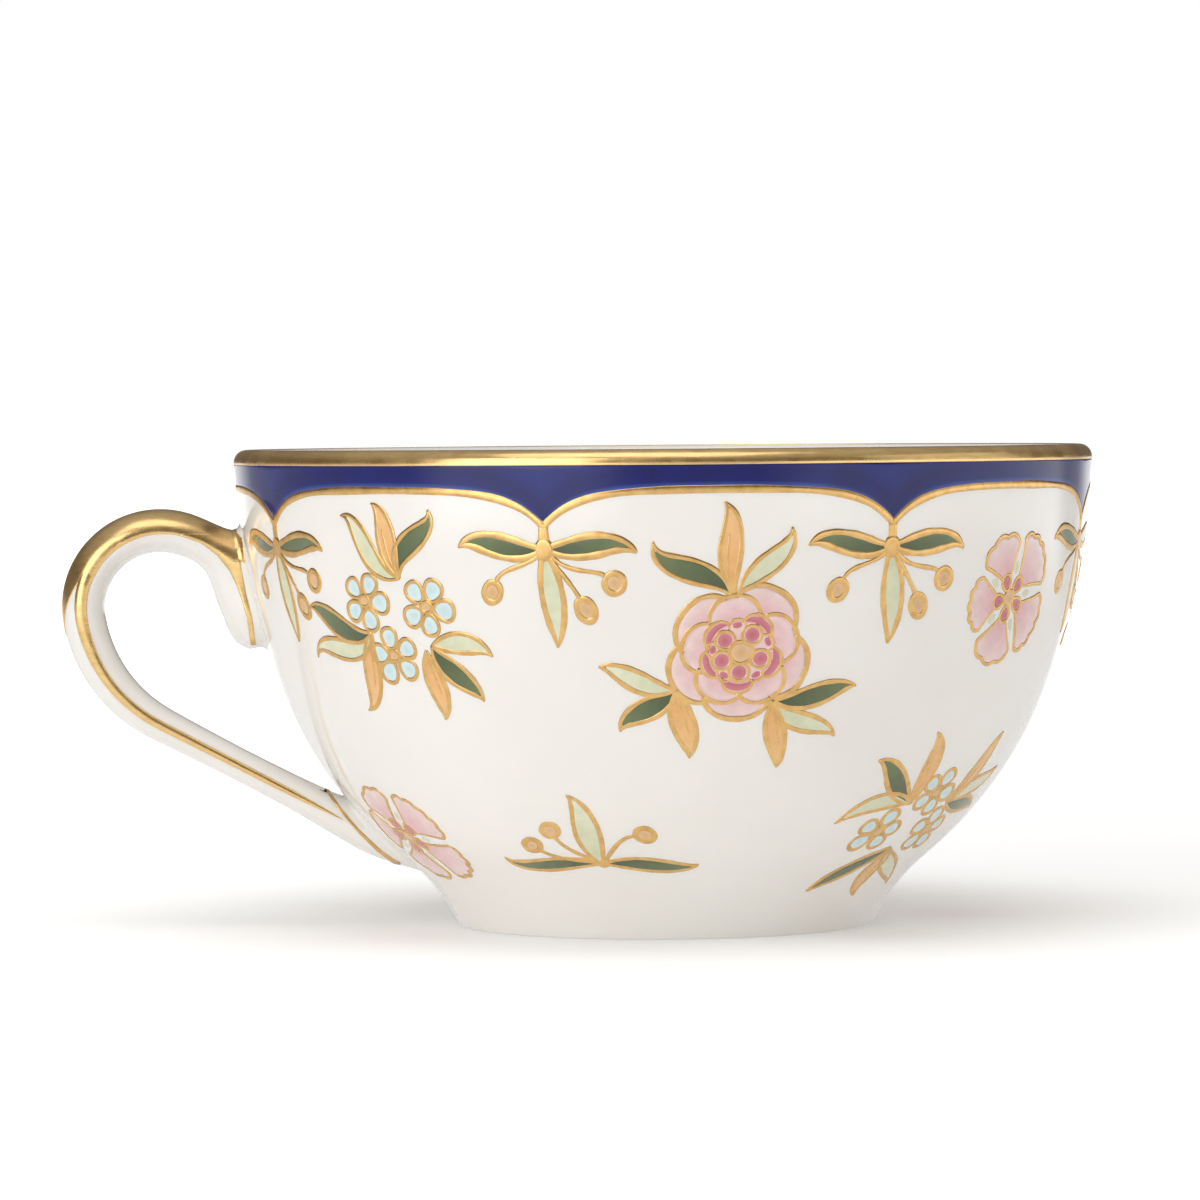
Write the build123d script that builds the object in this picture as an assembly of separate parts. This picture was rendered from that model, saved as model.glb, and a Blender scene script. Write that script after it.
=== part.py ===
from build123d import *
from math import asin, atan2, cos, degrees, radians, sin
import os

# A bone china teacup, in millimetres. +Z is up, the foot stands on z = 0, the bowl's axis is the
# Z axis and the handle points along -X. The bowl and the handle are the two clay pieces, joined
# by two slips. Every other node is a fired layer on their surface: cobalt ground, gold or enamel.
# Directions round the bowl are degrees anticlockwise from +X, seen from above.

# Bowl. Its wall is two arcs, a round lower one and a flatter upper one, that meet at the shoulder.
RIM_RADIUS = 50.0
HEIGHT = 55.6
WALL = 2.3
LOWER_CENTRE_Z = 44.8
LOWER_RADIUS = 47.75
SHOULDER_ANGLE = -23.0
UPPER_RADIUS = 72.6
FLARE_Z = 49.5
LIP_OUTER_CORNER = 1.4
FLOOR_ANGLE = -54.0
FLOOR_BLEND = 18.0

# Foot
FOOT_TOP_ANGLE = -50.4
FOOT_RADIUS = 24.3
FOOT_WIDTH = 3.6
FOOT_EDGE = 0.3
BASE_RECESS = 2.1
RECESS_SLOPE = 0.9

# Fired layers round the rim
LAYER = 0.12
GILT_LOWER_Z = 53.75
GILT_INNER_Z = 54.6
SCALLOP_Z = 51.2
SCALLOP_DEPTH = 3.5
SCALLOP_POWER = 5
SCALLOP_STEPS = 6
SCALLOP_LINE = 0.8
SCALLOP_LAP = 0.1
CUSP_ANGLES = [-157.5, -110.0, -64.0, -18.5, 25.5, 69.5, 113.5, 157.5]
CUSP_Z = 47.8

# Handle. Its path, in radius and height on the far side from +X, is a straight root, the loop's
# arc, a wider arc down the side, a straight run and the spur's arc into the wall.
LOOP_CENTRE = (-58.6, 37.4)
LOOP_RADIUS = 8.9
LOOP_START = 64.0
LOOP_END = 190.0
SIDE_RADIUS = 17.0
SIDE_TURN = 52.0
ROOT_X = -47.0
SPUR_START = (-42.0, 15.0)
SPUR_END = (-29.0, 7.3)
# Share of the path, then half the thickness in the handle's plane and half the width across it.
HANDLE_SECTIONS = [
    (0.00, 3.0, 4.6),
    (0.06, 2.6, 4.3),
    (0.13, 2.5, 4.25),
    (0.22, 2.5, 4.2),
    (0.31, 2.5, 4.0),
    (0.40, 2.45, 3.6),
    (0.49, 2.25, 3.3),
    (0.58, 2.0, 3.1),
    (0.68, 1.85, 3.0),
    (0.79, 1.95, 3.3),
    (0.87, 2.2, 3.8),
    (0.93, 2.1, 3.9),
    (0.97, 1.3, 2.9),
    (1.00, 0.5, 1.4),
]
TONGUE_PATH = [(-48.9, 46.2), (-48.8, 39.5), (-47.4, 32.6)]
TONGUE_SECTIONS = [
    (0.00, 1.0, 2.6),
    (0.20, 2.0, 3.9),
    (0.50, 2.9, 4.1),
    (0.82, 2.7, 3.8),
    (0.95, 1.8, 2.8),
    (1.00, 0.9, 1.6),
]
HANDLE_REACH = 8.0

# Slip and gold on the handle
SLIP_THICKNESS = 0.3
SLIP_SPREAD = 0.5
ROOT_LINE = 0.7
ROOT_SPLIT_Z = 25.0
# Share of the path, then how far the gold's two edges lie beside it, away from the finger hole.
GILT_CREST = [
    (0.00, 0.3, 6.0),
    (0.10, 0.0, 6.0),
    (0.20, -0.3, 6.0),
    (0.29, -0.4, 6.0),
    (0.36, -0.45, 6.0),
]
GILT_SIDE_LINE = [
    (0.361, -0.45, 1.0),
    (0.45, -0.4, 0.8),
    (0.55, -0.5, 0.6),
    (0.65, -0.45, 0.5),
    (0.75, -0.4, 0.45),
    (0.82, -0.25, 0.3),
    (0.86, -0.05, 0.05),
]

# Enamels
COUNT_ROUND = 5
HEART_RADIUS = 1.05
BEAD_RADIUS = 0.6
BEAD_DISTANCE = 2.0
PEONY_RINGS = [(2.9, 4.5, 0.0), (4.7, 6.1, 36.0), (6.3, 7.8, 0.0)]
PEONY_GAP = 0.4
ROSETTE_PETAL_RADIUS = 2.45
ROSETTE_PETAL_DISTANCE = 5.05
BLUE_HEART_RADIUS = 0.8
BLUE_PETAL_RADIUS = 1.12
BLUE_PETAL_DISTANCE = 2.1
LEAF_WIDTH = 2.6
LEAF_BOW = 0.6
BUD_RADIUS = 1.1
STEM_WIDTH = 0.5
KNOT_RADIUS = 0.9
ENAMEL_REACH_OUT = 1.5
ENAMEL_REACH_IN = 6.0


def on_circle(centre, radius, angle):
    """Point on a circle at an angle in degrees."""
    turn = radians(angle)
    return (centre[0] + radius * cos(turn), centre[1] + radius * sin(turn))


def heading(angle):
    """Unit direction at an angle in degrees."""
    return on_circle((0, 0), 1, angle)


# ---- Bowl, drawn as radius and height ----

LOWER_CENTRE = (0.0, LOWER_CENTRE_Z)
SHOULDER = on_circle(LOWER_CENTRE, LOWER_RADIUS, SHOULDER_ANGLE)
UPPER_CENTRE = on_circle(SHOULDER, UPPER_RADIUS, SHOULDER_ANGLE + 180)
FLARE_ANGLE = degrees(asin((FLARE_Z - UPPER_CENTRE[1]) / UPPER_RADIUS))
LIP_RADIUS = RIM_RADIUS - LAYER
LIP_TOP_Z = HEIGHT - LAYER
LIP_TOP_RADIUS = LIP_RADIUS - LIP_OUTER_CORNER
FOOT_FLAT_OUTER = FOOT_RADIUS - FOOT_EDGE
FOOT_FLAT_INNER = FOOT_FLAT_OUTER - FOOT_WIDTH


def wall_edges(inset, low_angle, lip_point):
    """The wall's two arcs and its flare, this far inside the outer surface, from low to lip."""
    lower = LOWER_RADIUS - inset
    upper = UPPER_RADIUS - inset
    flare_start = on_circle(UPPER_CENTRE, upper, FLARE_ANGLE)
    return [
        CenterArc(LOWER_CENTRE, lower, low_angle, SHOULDER_ANGLE - low_angle),
        CenterArc(UPPER_CENTRE, upper, SHOULDER_ANGLE, FLARE_ANGLE - SHOULDER_ANGLE),
        TangentArc(flare_start, lip_point, tangent=heading(FLARE_ANGLE + 90)),
    ]


def outer_edges():
    """The outer surface from the foot's edge to the top of the lip."""
    foot_top = on_circle(LOWER_CENTRE, LOWER_RADIUS, FOOT_TOP_ANGLE)
    lip_z = LIP_TOP_Z - LIP_OUTER_CORNER
    foot = TangentArc(foot_top, (FOOT_RADIUS, FOOT_EDGE), tangent=heading(FOOT_TOP_ANGLE - 90))
    lip = CenterArc((LIP_TOP_RADIUS, lip_z), LIP_OUTER_CORNER, 0, 90)
    return [foot, *wall_edges(0, FOOT_TOP_ANGLE, (LIP_RADIUS, lip_z)), lip]


def inner_edges():
    """The inner surface from the middle of the floor to the top of the lip."""
    floor_start = on_circle(LOWER_CENTRE, LOWER_RADIUS - WALL, FLOOR_ANGLE)
    blend_centre = on_circle(floor_start, FLOOR_BLEND, FLOOR_ANGLE + 180)
    floor_z = blend_centre[1] - FLOOR_BLEND
    corner = WALL - LIP_OUTER_CORNER
    lip_z = LIP_TOP_Z - corner
    return [
        Line((0, floor_z), (blend_centre[0], floor_z)),
        CenterArc(blend_centre, FLOOR_BLEND, -90, FLOOR_ANGLE + 90),
        *wall_edges(WALL, FLOOR_ANGLE, (LIP_RADIUS - WALL, lip_z)),
        CenterArc((LIP_TOP_RADIUS, lip_z), corner, 90, 90),
    ]


def bowl_section():
    """Half section of the bowl, with its foot ring and recessed base."""
    inside = inner_edges()
    under = Polyline(
        inside[0] @ 0,
        (0, BASE_RECESS),
        (FOOT_FLAT_INNER - RECESS_SLOPE, BASE_RECESS),
        (FOOT_FLAT_INNER, 0),
        (FOOT_FLAT_OUTER, 0),
        (FOOT_RADIUS, FOOT_EDGE),
    )
    return make_face([*inside, *outer_edges(), under])


def outer_section():
    """Half section of everything inside the outer surface."""
    closing = Polyline(
        (LIP_TOP_RADIUS, LIP_TOP_Z),
        (0, LIP_TOP_Z),
        (0, 0),
        (FOOT_FLAT_OUTER, 0),
        (FOOT_RADIUS, FOOT_EDGE),
    )
    return make_face([*outer_edges(), closing])


def window(low, high):
    """Rectangle between two corners."""
    width = high[0] - low[0]
    height = high[1] - low[1]
    return Pos(low[0] + width / 2, low[1] + height / 2) * Rectangle(width, height)


def spin(section):
    """Solid of revolution about Z from a section drawn as radius and height."""
    return revolve(Plane.XZ * section, Axis.Z)


def grown_body(thickness):
    """Everything inside the outer surface, grown evenly."""
    grown = offset(outer_section(), thickness)
    return spin(grown & window((0, -1), (RIM_RADIUS + 5, HEIGHT + 5)))


def layer_on_wall(low=FOOT_EDGE, high=GILT_LOWER_Z):
    """A fired layer on the outer wall between two heights."""
    ring = offset(outer_section(), LAYER) - outer_section()
    return spin(ring & window((FOOT_RADIUS, low), (RIM_RADIUS + 5, high)))


def gilt_rim():
    """Gold over the lip, from the cobalt up and a little way down the inside."""
    section = bowl_section()
    ring = offset(section, LAYER) - section
    outside = ring & window((LIP_TOP_RADIUS, GILT_LOWER_Z), (RIM_RADIUS + 1, HEIGHT + 1))
    inside = ring & window((RIM_RADIUS - 5, GILT_INNER_Z), (LIP_TOP_RADIUS, HEIGHT + 1))
    return spin(outside + inside)


def on_wall(z):
    """Radius of the outer wall at a height, and how many degrees its face leans down there."""
    centre, radius = (UPPER_CENTRE, UPPER_RADIUS)
    if z < SHOULDER[1]:
        centre, radius = (LOWER_CENTRE, LOWER_RADIUS)
    lean = degrees(asin((centre[1] - z) / radius))
    return on_circle(centre, radius, -lean)[0], lean


def facing(angle, z=0, radius=0, lean=0):
    """Plane square to the outward direction here, drawn on as seen from outside."""
    out = Vector(1, 0, 0).rotate(Axis.Y, lean).rotate(Axis.Z, angle)
    along = Vector(0, 1, 0).rotate(Axis.Z, angle)
    return Plane(origin=(*on_circle((0, 0), radius, angle), z), x_dir=along, z_dir=out)


# ---- Scalloped border ----

def scallop_edge(span, rise):
    """Lower edge of the scallop between two cusps, lifted by rise. Neighbours just overlap."""
    radius = RIM_RADIUS + SCALLOP_LAP
    points = []
    for step in range(-SCALLOP_STEPS, SCALLOP_STEPS + 1):
        part = step / SCALLOP_STEPS
        drop = SCALLOP_DEPTH * abs(part) ** SCALLOP_POWER
        points.append((radius * sin(radians(span / 2 * part)), SCALLOP_Z + rise - drop))
    return Spline(*points)


def ground_outline(span):
    """Cobalt from the gilt line up past the gilt rim's lower edge."""
    edge = scallop_edge(span, SCALLOP_LINE / 2)
    left, right = edge @ 0, edge @ 1
    return make_face([edge, Polyline(left, (left.X, HEIGHT), (right.X, HEIGHT), right)])


def line_outline(span):
    """The gilt line along one scallop."""
    upper = scallop_edge(span, SCALLOP_LINE / 2)
    lower = scallop_edge(span, -SCALLOP_LINE / 2)
    return make_face([upper, lower, Line(upper @ 0, lower @ 0), Line(upper @ 1, lower @ 1)])


def scalloped(outline, layer):
    """A band of the layer, cut to one outline between each cusp and the next."""
    band = Part()
    for start, end in zip(CUSP_ANGLES, CUSP_ANGLES[1:] + [CUSP_ANGLES[0] + 360]):
        prism = extrude(facing((start + end) / 2) * outline(end - start), RIM_RADIUS + 5)
        band += layer & prism
    return band


# ---- Enamels, drawn flat about the middle of each spray ----

def around(shape, distance):
    """Five copies of a shape round the middle, the first one upwards."""
    turns = [90 + index * 360 / COUNT_ROUND for index in range(COUNT_ROUND)]
    return Sketch() + [Rot(0, 0, turn) * Pos(distance, 0) * shape for turn in turns]


def leaf(base, tip):
    """A pointed leaf whose left side bulges more than its right."""
    start, end = Vector(*base), Vector(*tip)
    across = (end - start).normalized().rotate(Axis.Z, 90) * LEAF_WIDTH
    middle = (start + end) * 0.5
    left = ThreePointArc(start, middle + across * LEAF_BOW, end)
    right = ThreePointArc(end, middle - across * (1 - LEAF_BOW), start)
    return make_face([left, right])


def leaf_fan(base, tips):
    """Leaves that spring from one point."""
    return Sketch() + [leaf(base, tip) for tip in tips]


def bud(root, centre):
    """A round bud on a thin straight stem."""
    run = Vector(*centre) - Vector(*root)
    middle = (Vector(*centre) + Vector(*root)) * 0.5
    stem = Rot(0, 0, degrees(atan2(run.Y, run.X))) * Rectangle(run.length, STEM_WIDTH)
    return Pos(middle.X, middle.Y) * stem + Pos(*centre) * Circle(BUD_RADIUS)


def ring_petals(inner, outer, turn):
    """One ring of the peony, cut into even petals with gaps between them."""
    ring = Circle(outer) - Circle(inner)
    for index in range(COUNT_ROUND):
        angle = turn + (index + 0.5) * 360 / COUNT_ROUND
        ring -= Rot(0, 0, angle) * Pos(outer / 2, 0) * Rectangle(outer + 1, PEONY_GAP)
    return ring


def flower_heart():
    """A gold heart with beads round it."""
    return Circle(HEART_RADIUS) + around(Circle(BEAD_RADIUS), BEAD_DISTANCE)


def peony_head():
    """The heart and three rings of petals."""
    return flower_heart() + [ring_petals(*ring) for ring in PEONY_RINGS]


def rosette_head():
    """The heart and five broad petals."""
    return flower_heart() + around(Circle(ROSETTE_PETAL_RADIUS), ROSETTE_PETAL_DISTANCE)


def blue_heads():
    """Three small blossoms in a triangle."""
    head = Circle(BLUE_HEART_RADIUS) + around(Circle(BLUE_PETAL_RADIUS), BLUE_PETAL_DISTANCE)
    return Sketch() + [Pos(*centre) * head for centre in [(-4.0, 1.9), (4.0, 1.3), (0.0, -4.9)]]


def peony_leaves():
    """Three fans of three leaves behind a peony."""
    return (
        leaf_fan((-1.3, 8.2), [(-10.0, 12.5), (-2.5, 16.8), (5.2, 14.0)])
        + leaf_fan((-7.2, -4.6), [(-15.5, -1.6), (-12.7, -9.3), (-4.7, -12.7)])
        + leaf_fan((4.8, -6.6), [(13.7, -4.2), (11.5, -10.3), (5.5, -14.1)])
    )


def blue_leaves():
    """Three fans of three leaves round the blue blossoms."""
    return (
        leaf_fan((0.9, 4.9), [(-7.3, 11.3), (-2.1, 12.4), (5.9, 11.9)])
        + leaf_fan((-7.0, -1.4), [(-15.0, 0.8), (-14.6, -4.7), (-9.0, -10.5)])
        + leaf_fan((4.9, -3.6), [(11.0, -3.6), (8.4, -9.4), (2.5, -12.0)])
    )


def sprig():
    """Two long leaves lying level, an upright one and three buds."""
    root = (-0.5, 0.4)
    leaves = leaf_fan(root, [(-12.4, 1.0), (-3.2, 11.3), (10.2, 0.4)])
    buds = [bud(root, centre) for centre in [(-8.5, 3.6), (-5.8, 6.0), (4.9, 5.4)]]
    return leaves + buds + Pos(*root) * Circle(KNOT_RADIUS)


def pendant():
    """Hung from a cusp: a leaf each side, a spear in the middle and three buds."""
    root = (0, -2.6)
    leaves = leaf_fan(root, [(-10.2, -2.6), (0.2, -13.3), (10.2, -3.0)])
    buds = [bud(root, centre) for centre in [(-6.0, -7.4), (4.0, -8.9), (7.4, -6.1)]]
    return leaves + buds + Pos(*root) * Circle(KNOT_RADIUS)


# Direction and height of each spray's middle.
PEONIES = {"front": (-84.3, 33.3), "back": (49.0, 33.3)}
BLUE_SPRAYS = {
    "upper_left": (-133.0, 37.0),
    "upper_right": (6.5, 37.0),
    "upper_back": (138.5, 37.0),
    "lower_front": (-44.4, 13.6),
    "lower_back": (116.0, 13.6),
}
ROSETTES = {
    "upper_right": (-41.0, 38.5),
    "upper_back": (91.5, 38.5),
    "lower_left": (-153.5, 11.5),
    "lower_right": (9.0, 11.5),
}
SPRIGS = {"front": (-106.3, 8.9), "back": (60.0, 8.9)}


def enamel(outline, angle, z, layer):
    """An outline laid square to the wall at its middle and cut from the layer there."""
    radius, lean = on_wall(z)
    outlines = facing(angle, z, radius, lean) * outline
    return layer & (extrude(outlines, ENAMEL_REACH_OUT) + extrude(outlines, -ENAMEL_REACH_IN))


# ---- Handle ----

def handle_path():
    """Middle line of the handle, from inside the wall over the loop and down the spur."""
    top = on_circle(LOOP_CENTRE, LOOP_RADIUS, LOOP_START)
    side = on_circle(LOOP_CENTRE, LOOP_RADIUS, LOOP_END)
    slope = heading(LOOP_START - 90)
    root = (ROOT_X, top[1] + slope[1] / slope[0] * (ROOT_X - top[0]))
    loop = CenterArc(LOOP_CENTRE, LOOP_RADIUS, LOOP_START, LOOP_END - LOOP_START)
    side_centre = on_circle(side, SIDE_RADIUS, LOOP_END + 180)
    side_arc = CenterArc(side_centre, SIDE_RADIUS, LOOP_END, SIDE_TURN)
    run = Line(side_arc @ 1, SPUR_START)
    spur = TangentArc(SPUR_START, SPUR_END, tangent=run % 1)
    return Wire([Plane.XZ * edge for edge in [Line(root, top), loop, side_arc, run, spur]])


def section_plane(path, share):
    """Plane across a path whose first axis points away from the finger hole."""
    along = path % share
    return Plane(origin=path @ share, x_dir=Vector(0, 1, 0).cross(along), z_dir=along)


def oval_loft(path, sections, grow):
    """Smooth body through ovals across a path."""
    ovals = []
    for share, thick, wide in sections:
        ovals.append(section_plane(path, share) * Ellipse(thick + grow, wide + grow))
    return loft(ovals)


def handle_body(grow=0):
    """Handle with its tongue, running on into the wall."""
    tongue = Wire([Plane.XZ * ThreePointArc(*TONGUE_PATH)])
    return oval_loft(handle_path(), HANDLE_SECTIONS, grow) + oval_loft(tongue, TONGUE_SECTIONS, grow)


def beside_path(path, share, away):
    """Point beside the path, this far away from the finger hole."""
    point = section_plane(path, share).from_local_coords((away, 0, 0))
    return (point.X, point.Z)


def path_band(stops):
    """Prism across the handle over a band beside its path."""
    path = handle_path()
    inner = Spline(*[beside_path(path, share, low) for share, low, high in stops])
    outer = Spline(*[beside_path(path, share, high) for share, low, high in stops])
    ends = [Line(inner @ 0, outer @ 0), Line(inner @ 1, outer @ 1)]
    return extrude(Plane.XZ * make_face([inner, outer, *ends]), HANDLE_REACH, both=True)


def handle_side(side):
    """The space on one side of the handle's plane: -1 in front, 1 behind."""
    middle = Pos(-RIM_RADIUS, side * HANDLE_REACH / 2, HEIGHT / 2)
    return middle * Box(2 * RIM_RADIUS, HANDLE_REACH, HEIGHT)


def handle_root(low, high):
    """The space round one root of the handle."""
    middle = Pos(-RIM_RADIUS, 0, (low + high) / 2)
    return middle * Box(RIM_RADIUS, 4 * HANDLE_REACH, high - low)


# ---- Nodes ----

def save(shape, name):
    """Write one node."""
    export_step(shape, f"parts/{name}.step")


def save_bowl():
    """The clay bowl and the layers round its rim."""
    layer = layer_on_wall(low=CUSP_Z - 3)
    line = scalloped(line_outline, layer)
    save(spin(bowl_section()), "bowl")
    save(gilt_rim(), "gilt_rim")
    save(line, "gilt_scallop_line")
    save(scalloped(ground_outline, layer) - line, "cobalt_ground")


def save_handle():
    """The clay handle, the slips that join it to the bowl and the gold on both."""
    body = handle_body()
    slip_outside = grown_body(SLIP_THICKNESS)
    slip = handle_body(SLIP_SPREAD)
    root_line = handle_body(SLIP_SPREAD + ROOT_LINE) - slip
    gold = handle_body(LAYER) - body - grown_body(SLIP_THICKNESS + LAYER)
    side_line = gold & path_band(GILT_SIDE_LINE)
    save(body - slip_outside, "handle")
    save(gold & path_band(GILT_CREST), "gilt_handle_crest")
    save(side_line & handle_side(-1), "gilt_handle_line_front")
    save(side_line & handle_side(1), "gilt_handle_line_back")
    sleeve = slip_outside - grown_body(0)
    layer = layer_on_wall()
    roots = {"upper": handle_root(ROOT_SPLIT_Z, HEIGHT), "lower": handle_root(0, ROOT_SPLIT_Z)}
    for name, root in roots.items():
        save(slip & (sleeve & root), f"{name}_slip_joint")
        save(root_line & (layer & root), f"gilt_{name}_root_line")


def save_enamels():
    """The sprays on the wall and the pendants under the cusps."""
    layer = layer_on_wall()
    for name, place in PEONIES.items():
        save(enamel(peony_head(), *place, layer), f"peony_{name}")
        save(enamel(peony_leaves(), *place, layer), f"peony_{name}_leaves")
    for name, place in BLUE_SPRAYS.items():
        save(enamel(blue_heads(), *place, layer), f"blue_spray_{name}")
        save(enamel(blue_leaves(), *place, layer), f"blue_spray_{name}_leaves")
    for name, place in ROSETTES.items():
        save(enamel(rosette_head(), *place, layer), f"rosette_{name}")
    for name, place in SPRIGS.items():
        save(enamel(sprig(), *place, layer), f"sprig_{name}")
    for number, angle in enumerate(CUSP_ANGLES, 1):
        save(enamel(pendant(), angle, CUSP_Z, layer), f"pendant_{number}")


os.makedirs("parts", exist_ok=True)
save_bowl()
save_handle()
save_enamels()
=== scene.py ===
"""Looks of a bone china teacup with cobalt, gold and enamel decoration, built on its CAD frame."""
import math
import random
from functools import partial

import bmesh
import bpy
import numpy as np
from mathutils import Matrix, Vector
from mathutils.bvhtree import BVHTree


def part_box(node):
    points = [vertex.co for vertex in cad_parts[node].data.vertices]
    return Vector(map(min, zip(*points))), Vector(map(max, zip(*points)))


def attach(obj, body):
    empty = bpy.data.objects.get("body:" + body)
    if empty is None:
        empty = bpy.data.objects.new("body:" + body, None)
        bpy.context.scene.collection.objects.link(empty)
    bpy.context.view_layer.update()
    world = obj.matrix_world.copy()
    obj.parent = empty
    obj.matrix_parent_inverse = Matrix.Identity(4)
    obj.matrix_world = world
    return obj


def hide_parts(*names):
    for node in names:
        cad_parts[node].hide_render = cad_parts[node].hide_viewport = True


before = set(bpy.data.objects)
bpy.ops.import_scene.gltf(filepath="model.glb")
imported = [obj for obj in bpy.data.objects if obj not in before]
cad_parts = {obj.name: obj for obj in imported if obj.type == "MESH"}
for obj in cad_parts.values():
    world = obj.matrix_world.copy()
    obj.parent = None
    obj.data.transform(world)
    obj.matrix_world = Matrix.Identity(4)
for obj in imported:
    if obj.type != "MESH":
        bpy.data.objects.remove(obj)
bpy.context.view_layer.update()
MM = 0.001
RNG = random.Random(11)

# ---- Sizes, in millimetres. Drawn round the bowl's axis; directions are degrees from +X. ----
_, RIM_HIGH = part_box("gilt_rim")
LAYER = 0.12
RIM_RADIUS = RIM_HIGH.x / MM
LIP_RADIUS = RIM_RADIUS - LAYER
LIP_TOP_Z = RIM_HIGH.z / MM - LAYER
WALL = 2.3
LOWER_CENTRE = (0.0, 44.8)
LOWER_RADIUS = 47.75
SHOULDER_ANGLE = -23.0
UPPER_RADIUS = 72.6
FLARE_Z = 49.5
LIP_CORNER = 1.4
FLOOR_ANGLE = -54.0
FLOOR_BLEND = 18.0
FOOT_TOP_ANGLE = -50.4
FOOT_EDGE = (24.3, 0.3)
UNDERSIDE = [(0.0, 2.1), (19.5, 2.1), (20.4, 0.0), (24.0, 0.0), (24.3, 0.3)]
UNDERSIDE_CORNERS = [0.6, 0.5, 0.25]
BOWL_SEGMENTS = 288

GILT_LOWER_Z = 53.75
GILT_INNER_Z = 55.45
SCALLOP_Z = 51.2
SCALLOP_DEPTH = 4.0
SCALLOP_FALL = 5.5
SCALLOP_LINE = 0.9
SCALLOP_LINE_HEIGHT = 0.11
CUSPS = [-157.5, -110.0, -64.0, -18.5, 25.5, 69.5, 113.5, 157.5, 202.5]

LOOP_CENTRE = (-58.6, 37.4)
LOOP_RADIUS = 8.9
LOOP_START = 64.0
LOOP_END = 190.0
SIDE_RADIUS = 17.0
SIDE_TURN = 52.0
ROOT_X = -48.0
SPUR_START = (-42.0, 15.0)
SPUR_END = (-29.0, 7.3)
HANDLE_SECTIONS = [
    (0.00, 3.0, 4.6), (0.06, 2.6, 4.3), (0.13, 2.5, 4.25), (0.22, 2.5, 4.2), (0.31, 2.5, 4.0),
    (0.40, 2.45, 3.6), (0.49, 2.25, 3.3), (0.58, 2.0, 3.1), (0.68, 1.85, 3.0), (0.79, 1.95, 3.3),
    (0.87, 2.2, 3.8), (0.93, 2.1, 3.9), (0.97, 1.5, 3.0), (1.00, 0.8, 1.8),
]
TONGUE_PATH = [(-48.9, 46.2), (-48.8, 39.5), (-47.4, 32.6)]
WEB_PATH = [(-56.8, 45.0), (-51.9, 42.7), (-49.2, 35.0)]
WEB_SECTIONS = [(0.00, 0.6, 2.4), (0.25, 1.4, 3.6), (0.50, 2.1, 3.9), (0.75, 2.3, 3.9), (1.00, 1.4, 3.0)]
TONGUE_SECTIONS = [
    (0.00, 1.0, 2.6), (0.20, 2.0, 3.9), (0.50, 2.9, 4.1), (0.82, 2.7, 3.8), (0.95, 1.8, 2.8),
    (1.00, 0.9, 1.6),
]
GILT_SIDE_LINE = [
    (0.28, -0.42, 1.15), (0.361, -0.45, 1.0), (0.45, -0.4, 0.8), (0.55, -0.5, 0.6),
    (0.65, -0.45, 0.5), (0.75, -0.4, 0.45), (0.82, -0.25, 0.3), (0.865, -0.05, 0.05),
]
# Gold between the handle's crest and the tongue's side: its two edges in x and z.
UPPER_ROOT_GOLD = [
    ((-56.3, 45.75), (-56.0, 46.0)), ((-53.9, 44.8), (-52.4, 46.2)), ((-52.1, 43.3), (-49.9, 45.6)),
    ((-50.6, 41.5), (-49.3, 43.6)), ((-49.8, 39.8), (-49.1, 41.6)), ((-49.25, 38.3), (-48.65, 39.1)),
    ((-48.65, 36.1), (-48.0, 36.4)), ((-48.25, 33.0), (-47.6, 33.1)),
]
LOWER_ROOT_GOLD = [
    (-40.0, 16.7), (-39.4, 15.8), (-38.0, 13.8), (-36.0, 11.4), (-33.6, 9.0), (-31.2, 7.1),
]
LOWER_ROOT_WIDTH = 0.5
ROOT_GOLD_HEIGHT = 0.09
ROOT_FILLET = 1.1

# ---- Plane geometry ----


def on_circle(centre, radius, angle):
    """Point on a circle at an angle in degrees."""
    turn = math.radians(angle)
    return (centre[0] + radius * math.cos(turn), centre[1] + radius * math.sin(turn))


def heading(angle):
    """Unit direction at an angle in degrees."""
    return on_circle((0, 0), 1, angle)


def arc(centre, radius, start, end, steps):
    """Points along a circle's arc."""
    return [on_circle(centre, radius, angle) for angle in np.linspace(start, end, steps + 1)]


def tangent_arc(start, direction, end, steps):
    """Points along the arc that leaves start in a direction and ends at end."""
    reach = np.subtract(end, start)
    normal = np.array([-direction[1], direction[0]])
    radius = reach.dot(reach) / (2 * reach.dot(normal))
    centre = np.add(start, normal * radius)
    first = math.degrees(math.atan2(start[1] - centre[1], start[0] - centre[0]))
    last = math.degrees(math.atan2(end[1] - centre[1], end[0] - centre[0]))
    sweep = (last - first) % 360
    if radius < 0:
        sweep -= 360
    return arc(centre, abs(radius), first, first + sweep, steps)


def three_point_arc(start, middle, end, steps):
    """Points on the parabola through three points."""
    pull = 2 * np.array(middle) - 0.5 * (np.array(start) + np.array(end))
    shares = np.linspace(0, 1, steps + 1)[:, None]
    return (1 - shares) ** 2 * start + 2 * shares * (1 - shares) * pull + shares**2 * np.array(end)


CORNER_STEPS = 5


def rounded(points, radii):
    """A polyline with its inner corners rounded."""
    smooth = [points[0]]
    for before, corner, after, radius in zip(points, points[1:], points[2:], radii):
        corner = np.array(corner)
        back = np.subtract(before, corner)
        on = np.subtract(after, corner)
        cut = min(radius, 0.45 * np.linalg.norm(back), 0.45 * np.linalg.norm(on))
        first = corner + back / np.linalg.norm(back) * cut
        last = corner + on / np.linalg.norm(on) * cut
        for share in np.linspace(0, 1, CORNER_STEPS + 1):
            rest = 1 - share
            smooth.append(tuple(rest**2 * first + 2 * share * rest * corner + share**2 * last))
    return smooth + [points[-1]]


def join(*parts):
    """One polyline from several, without their repeated ends."""
    points = []
    for part in parts:
        for point in part:
            if not points or math.dist(points[-1], point) > 1e-4:
                points.append((float(point[0]), float(point[1])))
    return points


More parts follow.
